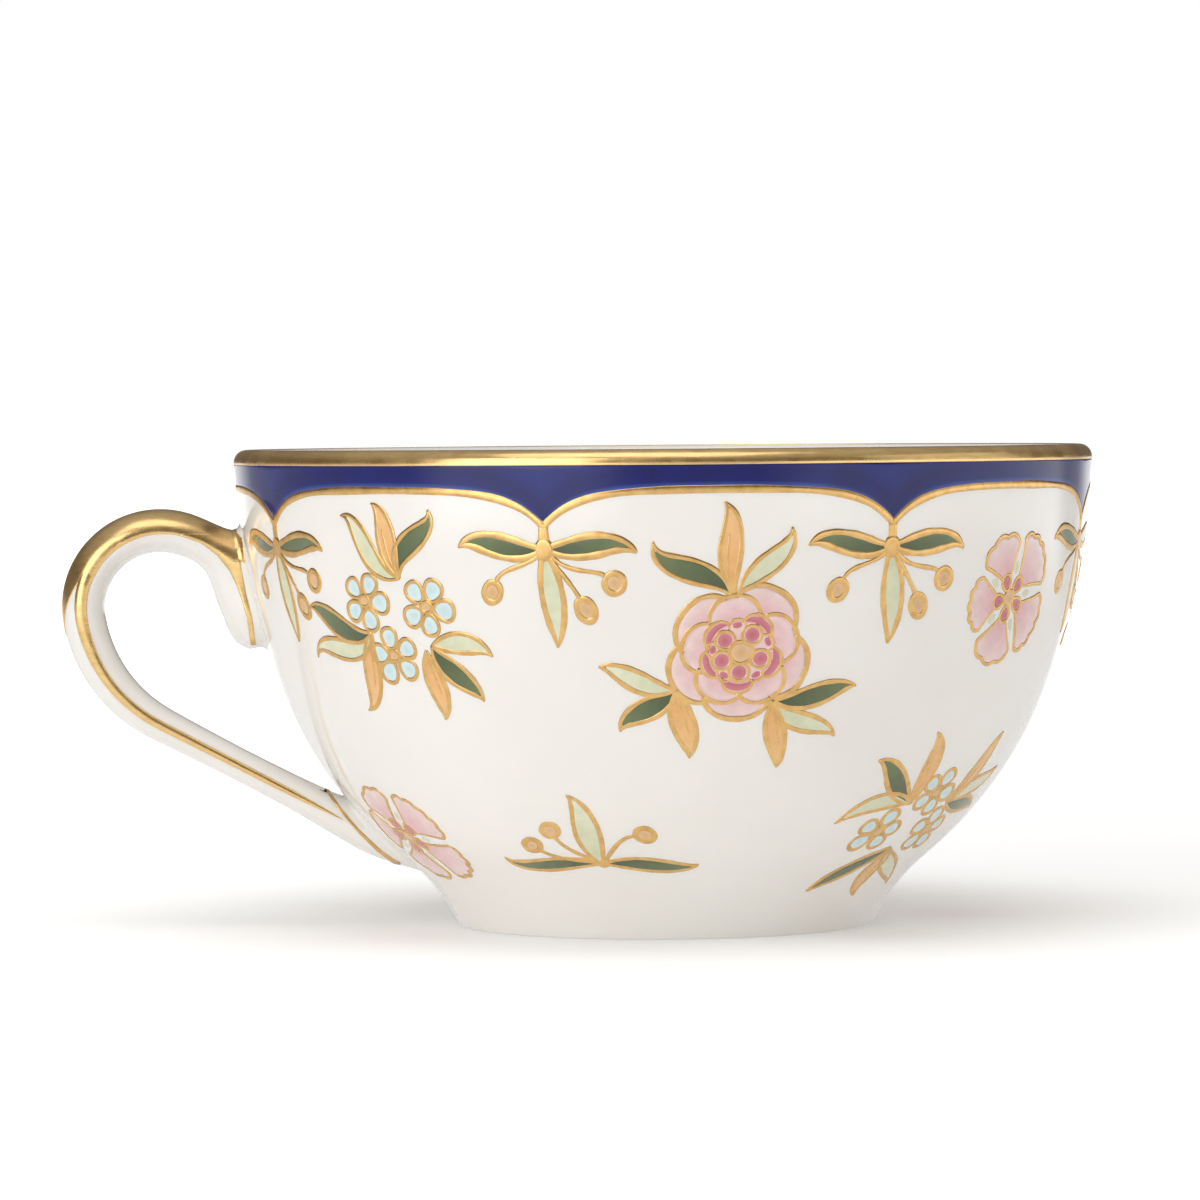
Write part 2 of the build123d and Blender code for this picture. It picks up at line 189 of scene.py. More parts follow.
def lengths_along(points):
    """Distance along a polyline at each of its points."""
    return np.concatenate([[0], np.cumsum(np.linalg.norm(np.diff(points, axis=0), axis=1))])


def read_off(places, knots, rows):
    """Each column of some rows, read off at places along the rows' knots."""
    return [np.interp(places, knots, column) for column in rows.T]


def along(points, count):
    """A polyline spread evenly into this many points."""
    points = np.array(points, float)
    run = lengths_along(points)
    return np.column_stack(read_off(np.linspace(0, run[-1], count), run, points))


def left_of(flow):
    """Unit vectors to the left of each step of a flow."""
    flow = flow / np.maximum(np.linalg.norm(flow, axis=1), 1e-9)[:, None]
    return np.column_stack([-flow[:, 1], flow[:, 0]])


def through(knots, shares):
    """Smooth values through rows of (share, value, ...) at the given shares."""
    knots = np.array(knots, float)
    at, values = knots[:, 0], knots[:, 1:]
    slopes = np.gradient(values, at, axis=0)
    place = np.clip(np.searchsorted(at, shares, side="right") - 1, 0, len(at) - 2)
    width = (at[place + 1] - at[place])[:, None]
    t = ((shares - at[place]) / width[:, 0])[:, None]
    return (
        (2 * t**3 - 3 * t**2 + 1) * values[place]
        + (t**3 - 2 * t**2 + t) * width * slopes[place]
        + (-2 * t**3 + 3 * t**2) * values[place + 1]
        + (t**3 - t**2) * width * slopes[place + 1]
    )


# ---- The wall of the bowl ----

SHOULDER = on_circle(LOWER_CENTRE, LOWER_RADIUS, SHOULDER_ANGLE)
UPPER_CENTRE = on_circle(SHOULDER, UPPER_RADIUS, SHOULDER_ANGLE + 180)
FLARE_ANGLE = math.degrees(math.asin((FLARE_Z - UPPER_CENTRE[1]) / UPPER_RADIUS))


def wall_curve(inset, low_angle, lip_point):
    """The wall's two arcs and its flare, this far inside the outer surface, from low to lip."""
    lower = LOWER_RADIUS - inset
    upper = UPPER_RADIUS - inset
    flare_start = on_circle(UPPER_CENTRE, upper, FLARE_ANGLE)
    return join(
        arc(LOWER_CENTRE, lower, low_angle, SHOULDER_ANGLE, 34),
        arc(UPPER_CENTRE, upper, SHOULDER_ANGLE, FLARE_ANGLE, 34),
        tangent_arc(flare_start, heading(FLARE_ANGLE + 90), lip_point, 10),
    )


def outer_curve():
    """The outer surface from the foot's edge to the top of the lip."""
    foot_top = on_circle(LOWER_CENTRE, LOWER_RADIUS, FOOT_TOP_ANGLE)
    foot = tangent_arc(foot_top, heading(FOOT_TOP_ANGLE - 90), FOOT_EDGE, 16)[::-1]
    lip_z = LIP_TOP_Z - LIP_CORNER
    lip = arc((LIP_RADIUS - LIP_CORNER, lip_z), LIP_CORNER, 0, 90, 12)
    return join(foot, wall_curve(0, FOOT_TOP_ANGLE, (LIP_RADIUS, lip_z)), lip)


def inner_curve():
    """The inner surface from the top of the lip to the middle of the floor."""
    floor_start = on_circle(LOWER_CENTRE, LOWER_RADIUS - WALL, FLOOR_ANGLE)
    blend_centre = on_circle(floor_start, FLOOR_BLEND, FLOOR_ANGLE + 180)
    floor_z = blend_centre[1] - FLOOR_BLEND
    corner = WALL - LIP_CORNER
    lip_z = LIP_TOP_Z - corner
    upward = join(
        [(x, floor_z) for x in np.linspace(0, blend_centre[0], 8)],
        arc(blend_centre, FLOOR_BLEND, -90, FLOOR_ANGLE, 12),
        wall_curve(WALL, FLOOR_ANGLE, (LIP_RADIUS - WALL, lip_z)),
        arc((LIP_RADIUS - LIP_CORNER, lip_z), corner, 180, 90, 8),
    )
    return upward[::-1]


OUTER = np.array(outer_curve())
INNER = np.array(inner_curve())


def curve_normals(points):
    """Normals on the right-hand side of a curve drawn as radius and height."""
    return -left_of(np.gradient(points, axis=0))


WALL_POINTS = along(OUTER, 900)
WALL_NORMALS = curve_normals(WALL_POINTS)
WALL_RUN = lengths_along(WALL_POINTS)


def run_at(z):
    """Distance up the wall from the foot's edge to a height."""
    return np.interp(z, WALL_POINTS[:, 1], WALL_RUN)


def wall_place(angle, run, lift):
    """Points lifted off the wall, from directions in radians and distances up the wall."""
    radius, z = read_off(run, WALL_RUN, WALL_POINTS)
    out, up = read_off(run, WALL_RUN, WALL_NORMALS)
    reach = radius + lift * out
    return np.stack([reach * np.cos(angle), reach * np.sin(angle), z + lift * up], axis=-1)


def wall_distance(points):
    """How far points lie outside the wall, and the wall's outward direction at them."""
    radius = np.hypot(points[:, 0], points[:, 1])
    flat = np.column_stack([radius, points[:, 2]])
    gaps = np.linalg.norm(flat[:, None, :] - WALL_POINTS[None, ::4, :], axis=2)
    nearest = gaps.argmin(axis=1) * 4
    normal = WALL_NORMALS[nearest]
    away = ((flat - WALL_POINTS[nearest]) * normal).sum(axis=1)
    turn = points[:, :2] / np.maximum(radius, 1e-6)[:, None]
    outward = np.column_stack([turn * normal[:, :1], normal[:, 1]])
    return away, outward


# ---- Meshes ----


def grid_faces(rows, around, closed_rows, closed_round):
    """Faces of a grid of points, joined on itself in the directions in which it is closed."""
    faces = []
    for row in range(rows if closed_rows else rows - 1):
        low, high = row * around, (row + 1) % rows * around
        for at in range(around if closed_round else around - 1):
            on = (at + 1) % around
            faces.append((low + at, low + on, high + on, high + at))
    return faces


def put(name, data):
    """A new object in the scene."""
    obj = bpy.data.objects.new(name, data)
    bpy.context.scene.collection.objects.link(obj)
    return obj


WELD = 1e-4


class Piece:
    """Collects the faces of one piece, in millimetres."""

    def __init__(self):
        self.points = []
        self.faces = []
        self.materials = []
        self.tones = []

    def add(self, points, faces, material=0, tones=None):
        """Take in more points and faces."""
        base = sum(len(block) for block in self.points)
        points = np.asarray(points, float).reshape(-1, 3)
        self.points.append(points)
        self.faces += [tuple(base + corner for corner in face) for face in faces]
        self.materials += [material] * len(faces)
        self.tones.append(np.zeros(len(points)) if tones is None else np.asarray(tones, float).ravel())

    def bar(self, rows, material=0, closed=False, tones=None):
        """A solid through closed cross-sections, an array of (rows, points round, 3)."""
        count, around = rows.shape[:2]
        faces = grid_faces(count, around, closed, True)
        if not closed:
            faces.append(tuple(range(around))[::-1])
            faces.append(tuple(range((count - 1) * around, count * around)))
        self.add(rows, faces, material, tones)

    def build(self, name, materials, replaced, slot):
        """Make the Blender object that rides on the cup."""
        mesh = bpy.data.meshes.new(name)
        points = np.concatenate(self.points) * MM
        mesh.from_pydata([tuple(point) for point in points], [], self.faces)
        tone = mesh.attributes.new("tone", "FLOAT", "POINT")
        tone.data.foreach_set("value", np.concatenate(self.tones))
        mesh.polygons.foreach_set("material_index", self.materials)
        tidy_mesh(mesh, WELD * MM)
        return finish_piece(put(name, mesh), materials, replaced)


def tidy_mesh(mesh, weld):
    """Join doubled points, drop empty faces and turn all faces outwards."""
    work = bmesh.new()
    work.from_mesh(mesh)
    bmesh.ops.remove_doubles(work, verts=work.verts, dist=weld)
    bmesh.ops.dissolve_degenerate(work, edges=work.edges, dist=weld)
    bmesh.ops.recalc_face_normals(work, faces=work.faces)
    work.to_mesh(mesh)
    work.free()
    mesh.polygons.foreach_set("use_smooth", [True] * len(mesh.polygons))
    mesh.update()


def finish_piece(obj, materials, replaced):
    """Give a piece its materials and tie it to the cup."""
    for material in materials:
        obj.data.materials.append(material)
    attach(obj, "root")
    if replaced:
        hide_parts(*replaced)
    return obj


def lathe(piece, profile, closed=False):
    """Turn a profile of (radius, height) points about the Z axis."""
    profile = np.array(profile, float)
    turns = np.linspace(0, 2 * math.pi, BOWL_SEGMENTS, endpoint=False)
    ring = np.stack([np.cos(turns), np.sin(turns)], axis=1)
    rows = np.zeros((BOWL_SEGMENTS, len(profile), 3))
    rows[:, :, :2] = ring[:, None, :] * profile[None, :, :1]
    rows[:, :, 2] = profile[None, :, 1]
    piece.add(rows, grid_faces(BOWL_SEGMENTS, len(profile), True, closed))


# ---- Materials ----


def feed(tree, socket, value):
    """Link another node's output to a socket, or set the socket to a plain value."""
    if isinstance(value, bpy.types.NodeSocket):
        tree.links.new(value, socket)
    elif isinstance(value, (int, float)):
        socket.default_value = value
    else:
        socket.default_value = (*value, 1) if len(socket.default_value) == 4 else value


def feed_all(tree, node, values):
    """Link or set several of a node's inputs."""
    for key, value in values.items():
        feed(tree, node.inputs[key], value)


def add_node(tree, kind, inputs=None, **settings):
    """A new node with some of its settings and inputs given."""
    node = tree.nodes.new(f"ShaderNode{kind}")
    for name, value in settings.items():
        setattr(node, name, value)
    feed_all(tree, node, inputs or {})
    return node


def new_material(name):
    """A material, its node tree and its main shader."""
    material = bpy.data.materials.new(name)
    material.use_nodes = True
    return material, material.node_tree, material.node_tree.nodes["Principled BSDF"]


def own_place(tree):
    """The place of each point in its piece's own coordinates, in metres."""
    return add_node(tree, "TexCoord").outputs["Object"]


def tone_value(tree):
    """The tone that each piece holds on its points."""
    return add_node(tree, "Attribute", attribute_name="tone").outputs["Fac"]


def noise(tree, scale, detail=3.0, stretch=(1, 1, 1)):
    """Noise over the piece's own coordinates, in features per metre."""
    mapping = add_node(tree, "Mapping", {"Vector": own_place(tree), "Scale": stretch})
    inputs = {"Vector": mapping.outputs["Vector"], "Scale": scale, "Detail": detail}
    return add_node(tree, "TexNoise", inputs).outputs["Fac"]


def ramp(tree, value, stops):
    """Colours or greys along a value."""
    node = add_node(tree, "ValToRGB", {"Fac": value})
    elements = node.color_ramp.elements
    while len(elements) < len(stops):
        elements.new(0.5)
    for element, (place, colour) in zip(elements, stops):
        element.position = place
        element.color = (*colour, 1)
    return node.outputs["Color"]


def mix(tree, share, first, second, mode="MIX"):
    """Mix two colours, given as sockets or plain values."""
    inputs = {0: share, 6: first, 7: second}
    return add_node(tree, "Mix", inputs, data_type="RGBA", blend_type=mode).outputs[2]


def bump(tree, shader, height, strength, distance):
    """Fine relief from a value."""
    node = add_node(tree, "Bump", {"Strength": strength, "Distance": distance, "Height": height})
    feed(tree, shader.inputs["Normal"], node.outputs["Normal"])


def grey(level):
    """A grey as a colour."""
    return (level, level, level)


def porcelain():
    """Glazed bone china, faintly uneven and faintly translucent."""
    material, tree, shader = new_material("bone_china_glaze")
    cloud = noise(tree, 55, 2)
    warm = ramp(tree, cloud, [(0.3, (0.845, 0.825, 0.785)), (0.7, (0.875, 0.86, 0.825))])
    speck = ramp(tree, noise(tree, 2600, 2), [(0.72, grey(1)), (0.80, (0.93, 0.91, 0.87))])
    feed_all(tree, shader, {
        "Base Color": mix(tree, 0.5, warm, speck, "MULTIPLY"), "Roughness": 0.09, "IOR": 1.53,
        "Subsurface Weight": 0.18, "Subsurface Radius": (0.0022, 0.0017, 0.0013),
        "Subsurface Scale": 0.6, "Coat Weight": 0.35, "Coat Roughness": 0.04,
    })
    bump(tree, shader, noise(tree, 130, 2), 0.12, 0.0004)
    return material


def gold(name, tint, deep, streak):
    """Burnished gold laid by brush; streak stretches the brush marks."""
    material, tree, shader = new_material(name)
    marks = noise(tree, 900, 4, streak)
    cloud = noise(tree, 260, 3)
    tone = ramp(tree, marks, [(0.3, deep), (0.62, tint)])
    tone = mix(tree, 0.35, tone, ramp(tree, cloud, [(0.35, deep), (0.65, tint)]))
    rough = ramp(tree, cloud, [(0.3, grey(0.2)), (0.7, grey(0.33))])
    feed_all(tree, shader, {"Base Color": tone, "Metallic": 1.0, "Roughness": rough})
    bump(tree, shader, marks, 0.12, 0.00006)
    return material


def cobalt():
    """Deep cobalt under glaze that pales where it thins along the scalloped line."""
    material, tree, shader = new_material("cobalt_glaze")
    wash = ramp(tree, tone_value(tree), [
        (0.0, (0.10, 0.22, 0.50)), (0.20, (0.035, 0.085, 0.36)), (0.42, (0.004, 0.008, 0.13)),
        (0.75, (0.003, 0.006, 0.11)), (1.0, (0.006, 0.016, 0.17)),
    ])
    cloud = ramp(tree, noise(tree, 240, 3), [(0.3, grey(0.75)), (0.7, grey(1.2))])
    feed_all(tree, shader, {
        "Base Color": mix(tree, 0.6, wash, cloud, "MULTIPLY"), "Roughness": 0.12, "IOR": 1.38,
        "Coat Weight": 0.08, "Coat Roughness": 0.05,
    })
    bump(tree, shader, noise(tree, 160, 2), 0.1, 0.0003)
    return material


ENAMEL_GRAIN = 700


def enamel(name, inner, outer):
    """Overglaze enamel that shades from its inner to its outer end, brushed unevenly."""
    material, tree, shader = new_material(name)
    wash = ramp(tree, tone_value(tree), [(0.05, inner), (0.9, outer)])
    marks = ramp(tree, noise(tree, ENAMEL_GRAIN, 5), [(0.30, grey(0.90)), (0.68, grey(1.05))])
    base = mix(tree, 0.8, wash, marks, "MULTIPLY")
    feed_all(tree, shader, {"Base Color": base, "Roughness": 0.16, "Coat Weight": 0.3})
    bump(tree, shader, noise(tree, ENAMEL_GRAIN * 1.5, 3), 0.12, 0.00006)
    return material


CHINA = porcelain()
GOLD_LINE = gold("gold_painted_line", (0.80, 0.52, 0.21), (0.60, 0.36, 0.13), (1, 1, 1))
GOLD_BAND = gold("gold_burnished_band", (0.88, 0.62, 0.28), (0.74, 0.49, 0.20), (0.5, 0.5, 3.5))
COBALT = cobalt()
GREEN = enamel("enamel_leaf_green", (0.055, 0.085, 0.030), (0.145, 0.185, 0.075))
PALE = enamel("enamel_pale_green", (0.64, 0.67, 0.44), (0.74, 0.75, 0.56))
AMBER = enamel("enamel_amber", (0.78, 0.40, 0.14), (0.85, 0.52, 0.23))
TAN = enamel("enamel_heart_tan", (0.70, 0.42, 0.20), (0.76, 0.50, 0.27))
BLUE = enamel("enamel_light_blue", (0.56, 0.73, 0.76), (0.66, 0.81, 0.83))
PINK = enamel("enamel_pale_pink", (0.76, 0.42, 0.44), (0.83, 0.64, 0.62))
ROSE = enamel("enamel_rose", (0.52, 0.13, 0.17), (0.63, 0.22, 0.25))

# ---- Bowl and the bands round its rim ----


RIM_GOLD_POINTS = 44
RIM_GOLD_LIFT = 0.07
RIM_GOLD_SUNK = 0.03
COBALT_LIFT = 0.045
COBALT_EDGE_SUNK = 0.02
COBALT_SUNK = 0.05
COBALT_LAP = 0.35


def band_section(curve, low_index, high_index, lift, sunk):
    """Closed section of a thin layer over part of a curve."""
    normals = along(curve_normals(curve)[low_index:high_index], RIM_GOLD_POINTS)
    points = along(curve[low_index:high_index], RIM_GOLD_POINTS)
    rise = np.full(len(points), lift)
    rise[0] = rise[-1] = -sunk
    top = points + normals * rise[:, None]
    under = points[::-1] - normals[::-1] * sunk
    return np.concatenate([top, under[1:-1]])


def build_bowl():
    """The bowl from its recessed base over the lip to the floor."""
    piece = Piece()
    lathe(piece, join(rounded(UNDERSIDE, UNDERSIDE_CORNERS), OUTER, INNER))
    return piece.build("bowl_body", [CHINA], ["bowl"], "bone_china")


def build_rim_gold():
    """Gold over the lip and a little way down the inside."""
    whole = along(join(OUTER, INNER), 3000)
    top = int(whole[:, 1].argmax())
    low = int(np.argmax(whole[:, 1] >= GILT_LOWER_Z))
    high = top + int(np.argmax(whole[top:, 1] < GILT_INNER_Z))
    piece = Piece()
    section = band_section(whole, low, high, RIM_GOLD_LIFT, RIM_GOLD_SUNK)
    lathe(piece, section, closed=True)
    return piece.build("rim_gold", [GOLD_BAND], ["gilt_rim"], "gold")


def scallop_drop(angles):
    """Height of the scalloped line at directions in degrees."""
    edges = np.array(CUSPS)
    turned = (angles - CUSPS[0]) % 360 + CUSPS[0]
    place = np.clip(np.searchsorted(edges, turned, side="right") - 1, 0, len(edges) - 2)
    part = 2 * (turned - edges[place]) / (edges[place + 1] - edges[place]) - 1
    return SCALLOP_Z - SCALLOP_DEPTH * np.exp(-SCALLOP_FALL * (1 - np.abs(part)))


def scallop_directions():
    """Directions that crowd towards the cusps."""
    turns = []
    for start, end in zip(CUSPS, CUSPS[1:]):
        shares = np.linspace(-1, 1, 57)[:-1]
        eased = np.sign(shares) * (1 - (1 - np.abs(shares)) ** 1.5)
        turns.append(start + (eased + 1) / 2 * (end - start))
    return np.concatenate(turns)


def build_cobalt():
    """The cobalt ground from the scalloped line up to the rim's gold."""
    turns = scallop_directions()
    low = run_at(scallop_drop(turns))
    high = np.full(len(turns), run_at(GILT_LOWER_Z + COBALT_LAP))
    shares = np.linspace(0, 1, 15)
    runs = low[:, None] + (high - low)[:, None] * shares
    lift = np.full(runs.shape, COBALT_LIFT)
    lift[:, 0] = lift[:, -1] = -COBALT_EDGE_SUNK
    angles = np.repeat(np.radians(turns)[:, None], len(shares), axis=1)
    top = wall_place(angles, runs, lift)
    under = wall_place(angles[:, ::-1], runs[:, ::-1], np.full(runs.shape, -COBALT_SUNK))
    rise = (runs - low[:, None]) / (run_at(GILT_LOWER_Z) - run_at(SCALLOP_Z))
    rise = 1 - np.exp(-1.6 * rise)
    tones = np.concatenate([rise, rise[:, ::-1]], axis=1)
    piece = Piece()
    piece.bar(np.concatenate([top, under], axis=1), closed=True, tones=np.clip(tones, 0, 1))
    return piece.build("cobalt_band", [COBALT], ["cobalt_ground"], "cobalt")


# ---- Brush strokes and enamel fills, drawn flat and laid on the wall ----

STROKE_SECTION = np.array([
    (-1.0, -0.3), (-0.93, 0.35), (-0.7, 0.75), (-0.35, 0.95), (0.0, 1.0), (0.35, 0.95), (0.7, 0.75),
    (0.93, 0.35), (1.0, -0.3),
])
LINE_WIDTH = 0.6
LINE_HEIGHT = 0.09
FILL_HEIGHT = 0.055
FILL_SUNK = 0.04
# How far along a stroke its two ends taper.
STROKE_START, STROKE_END = 0.18, 0.22


def ribbon(points, beside, half, height):
    """Flat places and lifts of the cross-sections of a raised stroke along a line."""
    flat = points[:, None, :] + beside[:, None, :] * (half[:, None] * STROKE_SECTION[:, 0])[..., None]
    return flat, STROKE_SECTION[:, 1] * height * np.ones((len(points), 1))


def edged(rows):
    """Rows with their first and last entries doubled."""
    return np.concatenate([rows[:, :1], rows, rows[:, -1:]], axis=1)


class Spray:
    """A flat drawing about one point of the wall: gold strokes and enamel fills."""

    def __init__(self, angle, z):
        self.angle = math.radians(angle)
        self.run = run_at(z)
        self.gold = Piece()
        self.flowers = Piece()
        self.leaves = Piece()

    def lay(self, flat, lift):
        """Points on the wall from flat points and their lift."""
        run = self.run + flat[..., 1]
        radius = np.interp(run, WALL_RUN, WALL_POINTS[:, 0])
        return wall_place(self.angle + flat[..., 0] / radius, run, lift)

    def stroke(self, points, width=LINE_WIDTH, closed=False, taper=(0.5, 0.5), height=LINE_HEIGHT):
        """A raised gold stroke; taper is how much of its width is left at each end."""
        points = np.asarray(points, float)
        if closed:
            flow = np.roll(points, -1, axis=0) - np.roll(points, 1, axis=0)
        else:
            flow = np.gradient(points, axis=0)
        share = np.linspace(0, 1, len(points))
        turn = RNG.uniform(0, 6.28)
        wave = 1 + 0.10 * np.sin(share * 6.28 * 2 + turn) + 0.05 * np.sin(share * 6.28 * 5 + 2 * turn)
        half = width / 2 * wave
        if not closed:
            start = np.minimum(share / STROKE_START, 1) ** 0.6
            end = np.minimum((1 - share) / STROKE_END, 1) ** 0.6
            half *= (taper[0] + (1 - taper[0]) * start) * (taper[1] + (1 - taper[1]) * end)
        self.gold.bar(self.lay(*ribbon(points, left_of(flow), half, height)), closed=closed)

    def fill(self, layer, first, second, material, height=FILL_HEIGHT, across=7, closed=False,
             tones=None, level=False):
        """Enamel between two flat curves, domed, or level from the first curve outwards."""
        first, second = np.asarray(first, float), np.asarray(second, float)
        share = np.linspace(0, 1, across)
        flat = first[:, None, :] * (1 - share)[None, :, None] + second[:, None, :] * share[None, :, None]
        dome = np.sqrt(np.clip(1 - (2 * share - 1) ** 4, 0, 1))
        if level:
            dome = np.sqrt(np.clip(1 - share**6, 0, 1))
        lift = np.repeat((height * dome)[None, :], len(first), axis=0)
        sunk = np.full((len(first), 1), -FILL_SUNK)
        lifts = np.concatenate([sunk, lift, sunk], axis=1)
        if tones is None:
            tones = np.repeat(share[None, :], len(first), axis=0)
        layer.bar(self.lay(edged(flat), lifts), material, closed, edged(tones))

    def disc(self, layer, centre, radius, material, stretch=(1, 1), height=FILL_HEIGHT, turn=0.0):
        """A round drop of enamel."""
        rim = oval(centre, radius * stretch[0], radius * stretch[1], turn)
        middle = np.repeat([centre], len(rim), axis=0)
        self.fill(layer, middle, rim, material, height, closed=True, level=True)


OVAL_POINTS = 28


def oval(centre, length, width, turn=0.0, egg=0.0):
    """Closed oval, its length turned from the flat X axis; egg widens its far end."""
    at = np.linspace(0, 2 * math.pi, OVAL_POINTS, endpoint=False)
    x = length * np.cos(at)
    y = width * np.sin(at) * (1 + egg * np.cos(at))
    cosine, sine = math.cos(turn), math.sin(turn)
    return np.column_stack([centre[0] + x * cosine - y * sine, centre[1] + x * sine + y * cosine])


def bezier(points, count=26):
    """Points on the cubic curve with these four control points."""
    t = np.linspace(0, 1, count)[:, None]
    a, b, c, d = [np.array(point, float) for point in points]
    return (1 - t) ** 3 * a + 3 * (1 - t) ** 2 * t * b + 3 * (1 - t) * t**2 * c + t**3 * d


def polar(radius, angle):
    """Flat points from radii and angles in degrees."""
    turn = np.radians(angle)
    return np.column_stack([radius * np.cos(turn), radius * np.sin(turn)])


LEAF_COLOURS = {"green": 0, "amber": 1, "pale": 2}
LEAF_HALF_WIDTHS = {"green": 1.22, "amber": 1.15, "pale": 1.12}


def leaf(spray, base, tip, colour, curl=(0.0, 0.0), width=1.0, reach=(0.03, 0.9), line=LINE_WIDTH):
    """A pointed leaf: two gold strokes from base to tip with enamel between them.

    curl is how far the leaf's line swings to its left near the base and near the tip, in lengths.
    """
    base, tip = np.array(base, float), np.array(tip, float)
    run = tip - base
    normal = np.array([-run[1], run[0]])
    first = base + run * 0.36 + normal * curl[0]
    spine = bezier([base, first, base + run * 0.80 + normal * curl[1], tip], 34)
    share = np.linspace(0, 1, len(spine))
    across = left_of(np.gradient(spine, axis=0))
    half = LEAF_HALF_WIDTHS[colour] * width * RNG.uniform(0.94, 1.06)
    left_peak, right_peak = 0.95 + 0.25 * max(curl[1], 0), 0.95 + 0.25 * max(-curl[1], 0)
    left = spine + across * (half * np.sin(math.pi * share ** (0.85 * left_peak)) ** 1.2)[:, None]
    right = spine - across * (half * np.sin(math.pi * share ** (0.85 * right_peak)) ** 1.2)[:, None]
    inside = (share >= reach[0]) & (share <= reach[1])
    tones = np.repeat(((share[inside] - reach[0]) / (reach[1] - reach[0]))[:, None], 7, axis=1)
    spray.fill(spray.leaves, left[inside], right[inside], LEAF_COLOURS[colour], tones=tones)
    spray.stroke(left, line, taper=(0.7, 0.35))
    spray.stroke(right, line, taper=(0.7, 0.35))
    if colour == "amber":
        vein = spine + across * (0.25 * half * np.sin(math.pi * share))[:, None]
        spray.stroke(vein[: int(len(vein) * 0.6)], 0.4, taper=(0.7, 0.2), height=LINE_HEIGHT * 0.9)


def bud(spray, path, centre, radius=1.5, stretch=(1.0, 1.0), turn=0.0):
    """A gold-ringed bud that hangs on a curved stem, from the stem's first three points."""
    centre = np.array(centre, float)
    arrive = np.subtract(path[-1], centre)
    end = centre + arrive / np.linalg.norm(arrive) * radius * 0.85
    spray.stroke(bezier([*path, end], 24), 0.55, taper=(1.0, 0.9))
    ring = oval(centre, (radius - 0.36) * stretch[0], (radius - 0.36) * stretch[1], turn)
    spray.stroke(ring, 0.78, closed=True)
    spray.disc(spray.leaves, centre, radius - 0.6, 3, stretch, turn=turn)


# ---- Flowers ----


def blue_blossom(spray, centre, start):
    """Five light blue petals, each in a gold loop, round a tan heart."""
    centre = np.array(centre, float)
    for index in range(5):
        angle = math.radians(start + 72 * index + RNG.uniform(-5, 5))
        size = RNG.uniform(0.93, 1.07)
        middle = centre + 2.12 * size * np.array([math.cos(angle), math.sin(angle)])
        loop = oval(middle, 1.28 * size, 1.12 * size, angle, 0.22)
        spray.stroke(loop, 0.5, closed=True)
        inner = oval(middle, 1.1 * size, 0.95 * size, angle, 0.22)
        spray.fill(spray.flowers, np.repeat([middle], len(inner), axis=0), inner, 0, closed=True, level=True)
    spray.stroke(oval(centre, 0.72, 0.62), 0.5, closed=True, height=LINE_HEIGHT * 1.25)
    spray.disc(spray.flowers, centre, 0.6, 1, (1.05, 0.85), height=FILL_HEIGHT * 1.6)


def petal_arc(direction, half_angle, outer, edge):
    """The rounded outer edge of a petal, seen from the flower's middle."""
    share = np.linspace(-1, 1, 30)
    radius = outer - (outer - edge) * np.abs(share) ** 2.6
    return polar(radius, direction + half_angle * share)


def petal_ring(spray, directions, half_angle, outer, edge, inner, material, height, width):
    """One ring of rounded petals, enamel from the inner radius out to the gold edge."""
    for direction in directions:
        turn = direction + RNG.uniform(-2, 2)
        size = RNG.uniform(0.97, 1.03)
        rim = petal_arc(turn, half_angle, outer * size, edge)
        foot = rim / np.linalg.norm(rim, axis=1)[:, None] * inner
        within = rim * 0.975
        tones = np.repeat(np.linspace(0, 1, 8)[None, :], len(rim), axis=0)
        spray.fill(spray.flowers, foot, within, material, height, 8, tones=tones)
        spray.stroke(rim, width, taper=(0.7, 0.7))


BEAD_ANGLES = [60, 143, 204, 267, 341]
WEDGE_ANGLES = [22, 100, 174, 236, 304]


def peony_head(spray):
    """Two rings of pale petals, then rose petals and beads, round a gold-ringed heart."""
    petal_ring(spray, BEAD_ANGLES, 36.5, 8.0, 6.35, 4.4, 0, 0.045, 0.66)
    petal_ring(spray, WEDGE_ANGLES, 36.5, 6.4, 4.8, 3.1, 0, 0.065, 0.6)
    spray.disc(spray.flowers, (0.0, 0.0), 3.9, 0, height=0.06)
    petal_ring(spray, BEAD_ANGLES, 30, 4.75, 3.5, 3.5, 1, 0.075, 0.52)
    for angle in WEDGE_ANGLES:
        place = polar(np.array([3.15]), np.array([angle]))[0]
        spray.disc(spray.flowers, place, 0.55, 1, (0.7, 1.1), height=0.08, turn=math.radians(angle))
        rim = petal_arc(angle, 19, 3.85, 3.0)
        spray.stroke(rim, 0.42, taper=(0.6, 0.6))
    for angle in BEAD_ANGLES:
        place = polar(np.array([2.3]), np.array([angle]))[0]
        spray.disc(spray.flowers, place, 0.92, 1, height=0.085)
        spray.stroke(oval(place, 1.12, 1.05), 0.48, closed=True, height=LINE_HEIGHT * 1.1)
    spray.disc(spray.flowers, (0.0, 0.0), 1.2, 2, height=0.14)
    spray.stroke(oval((0.0, 0.0), 1.36, 1.28), 0.5, closed=True, height=LINE_HEIGHT * 1.25)


RUFFLED_INNER = 2.5
RUFFLED_HALF_ANGLES = (13.0, 31.0)


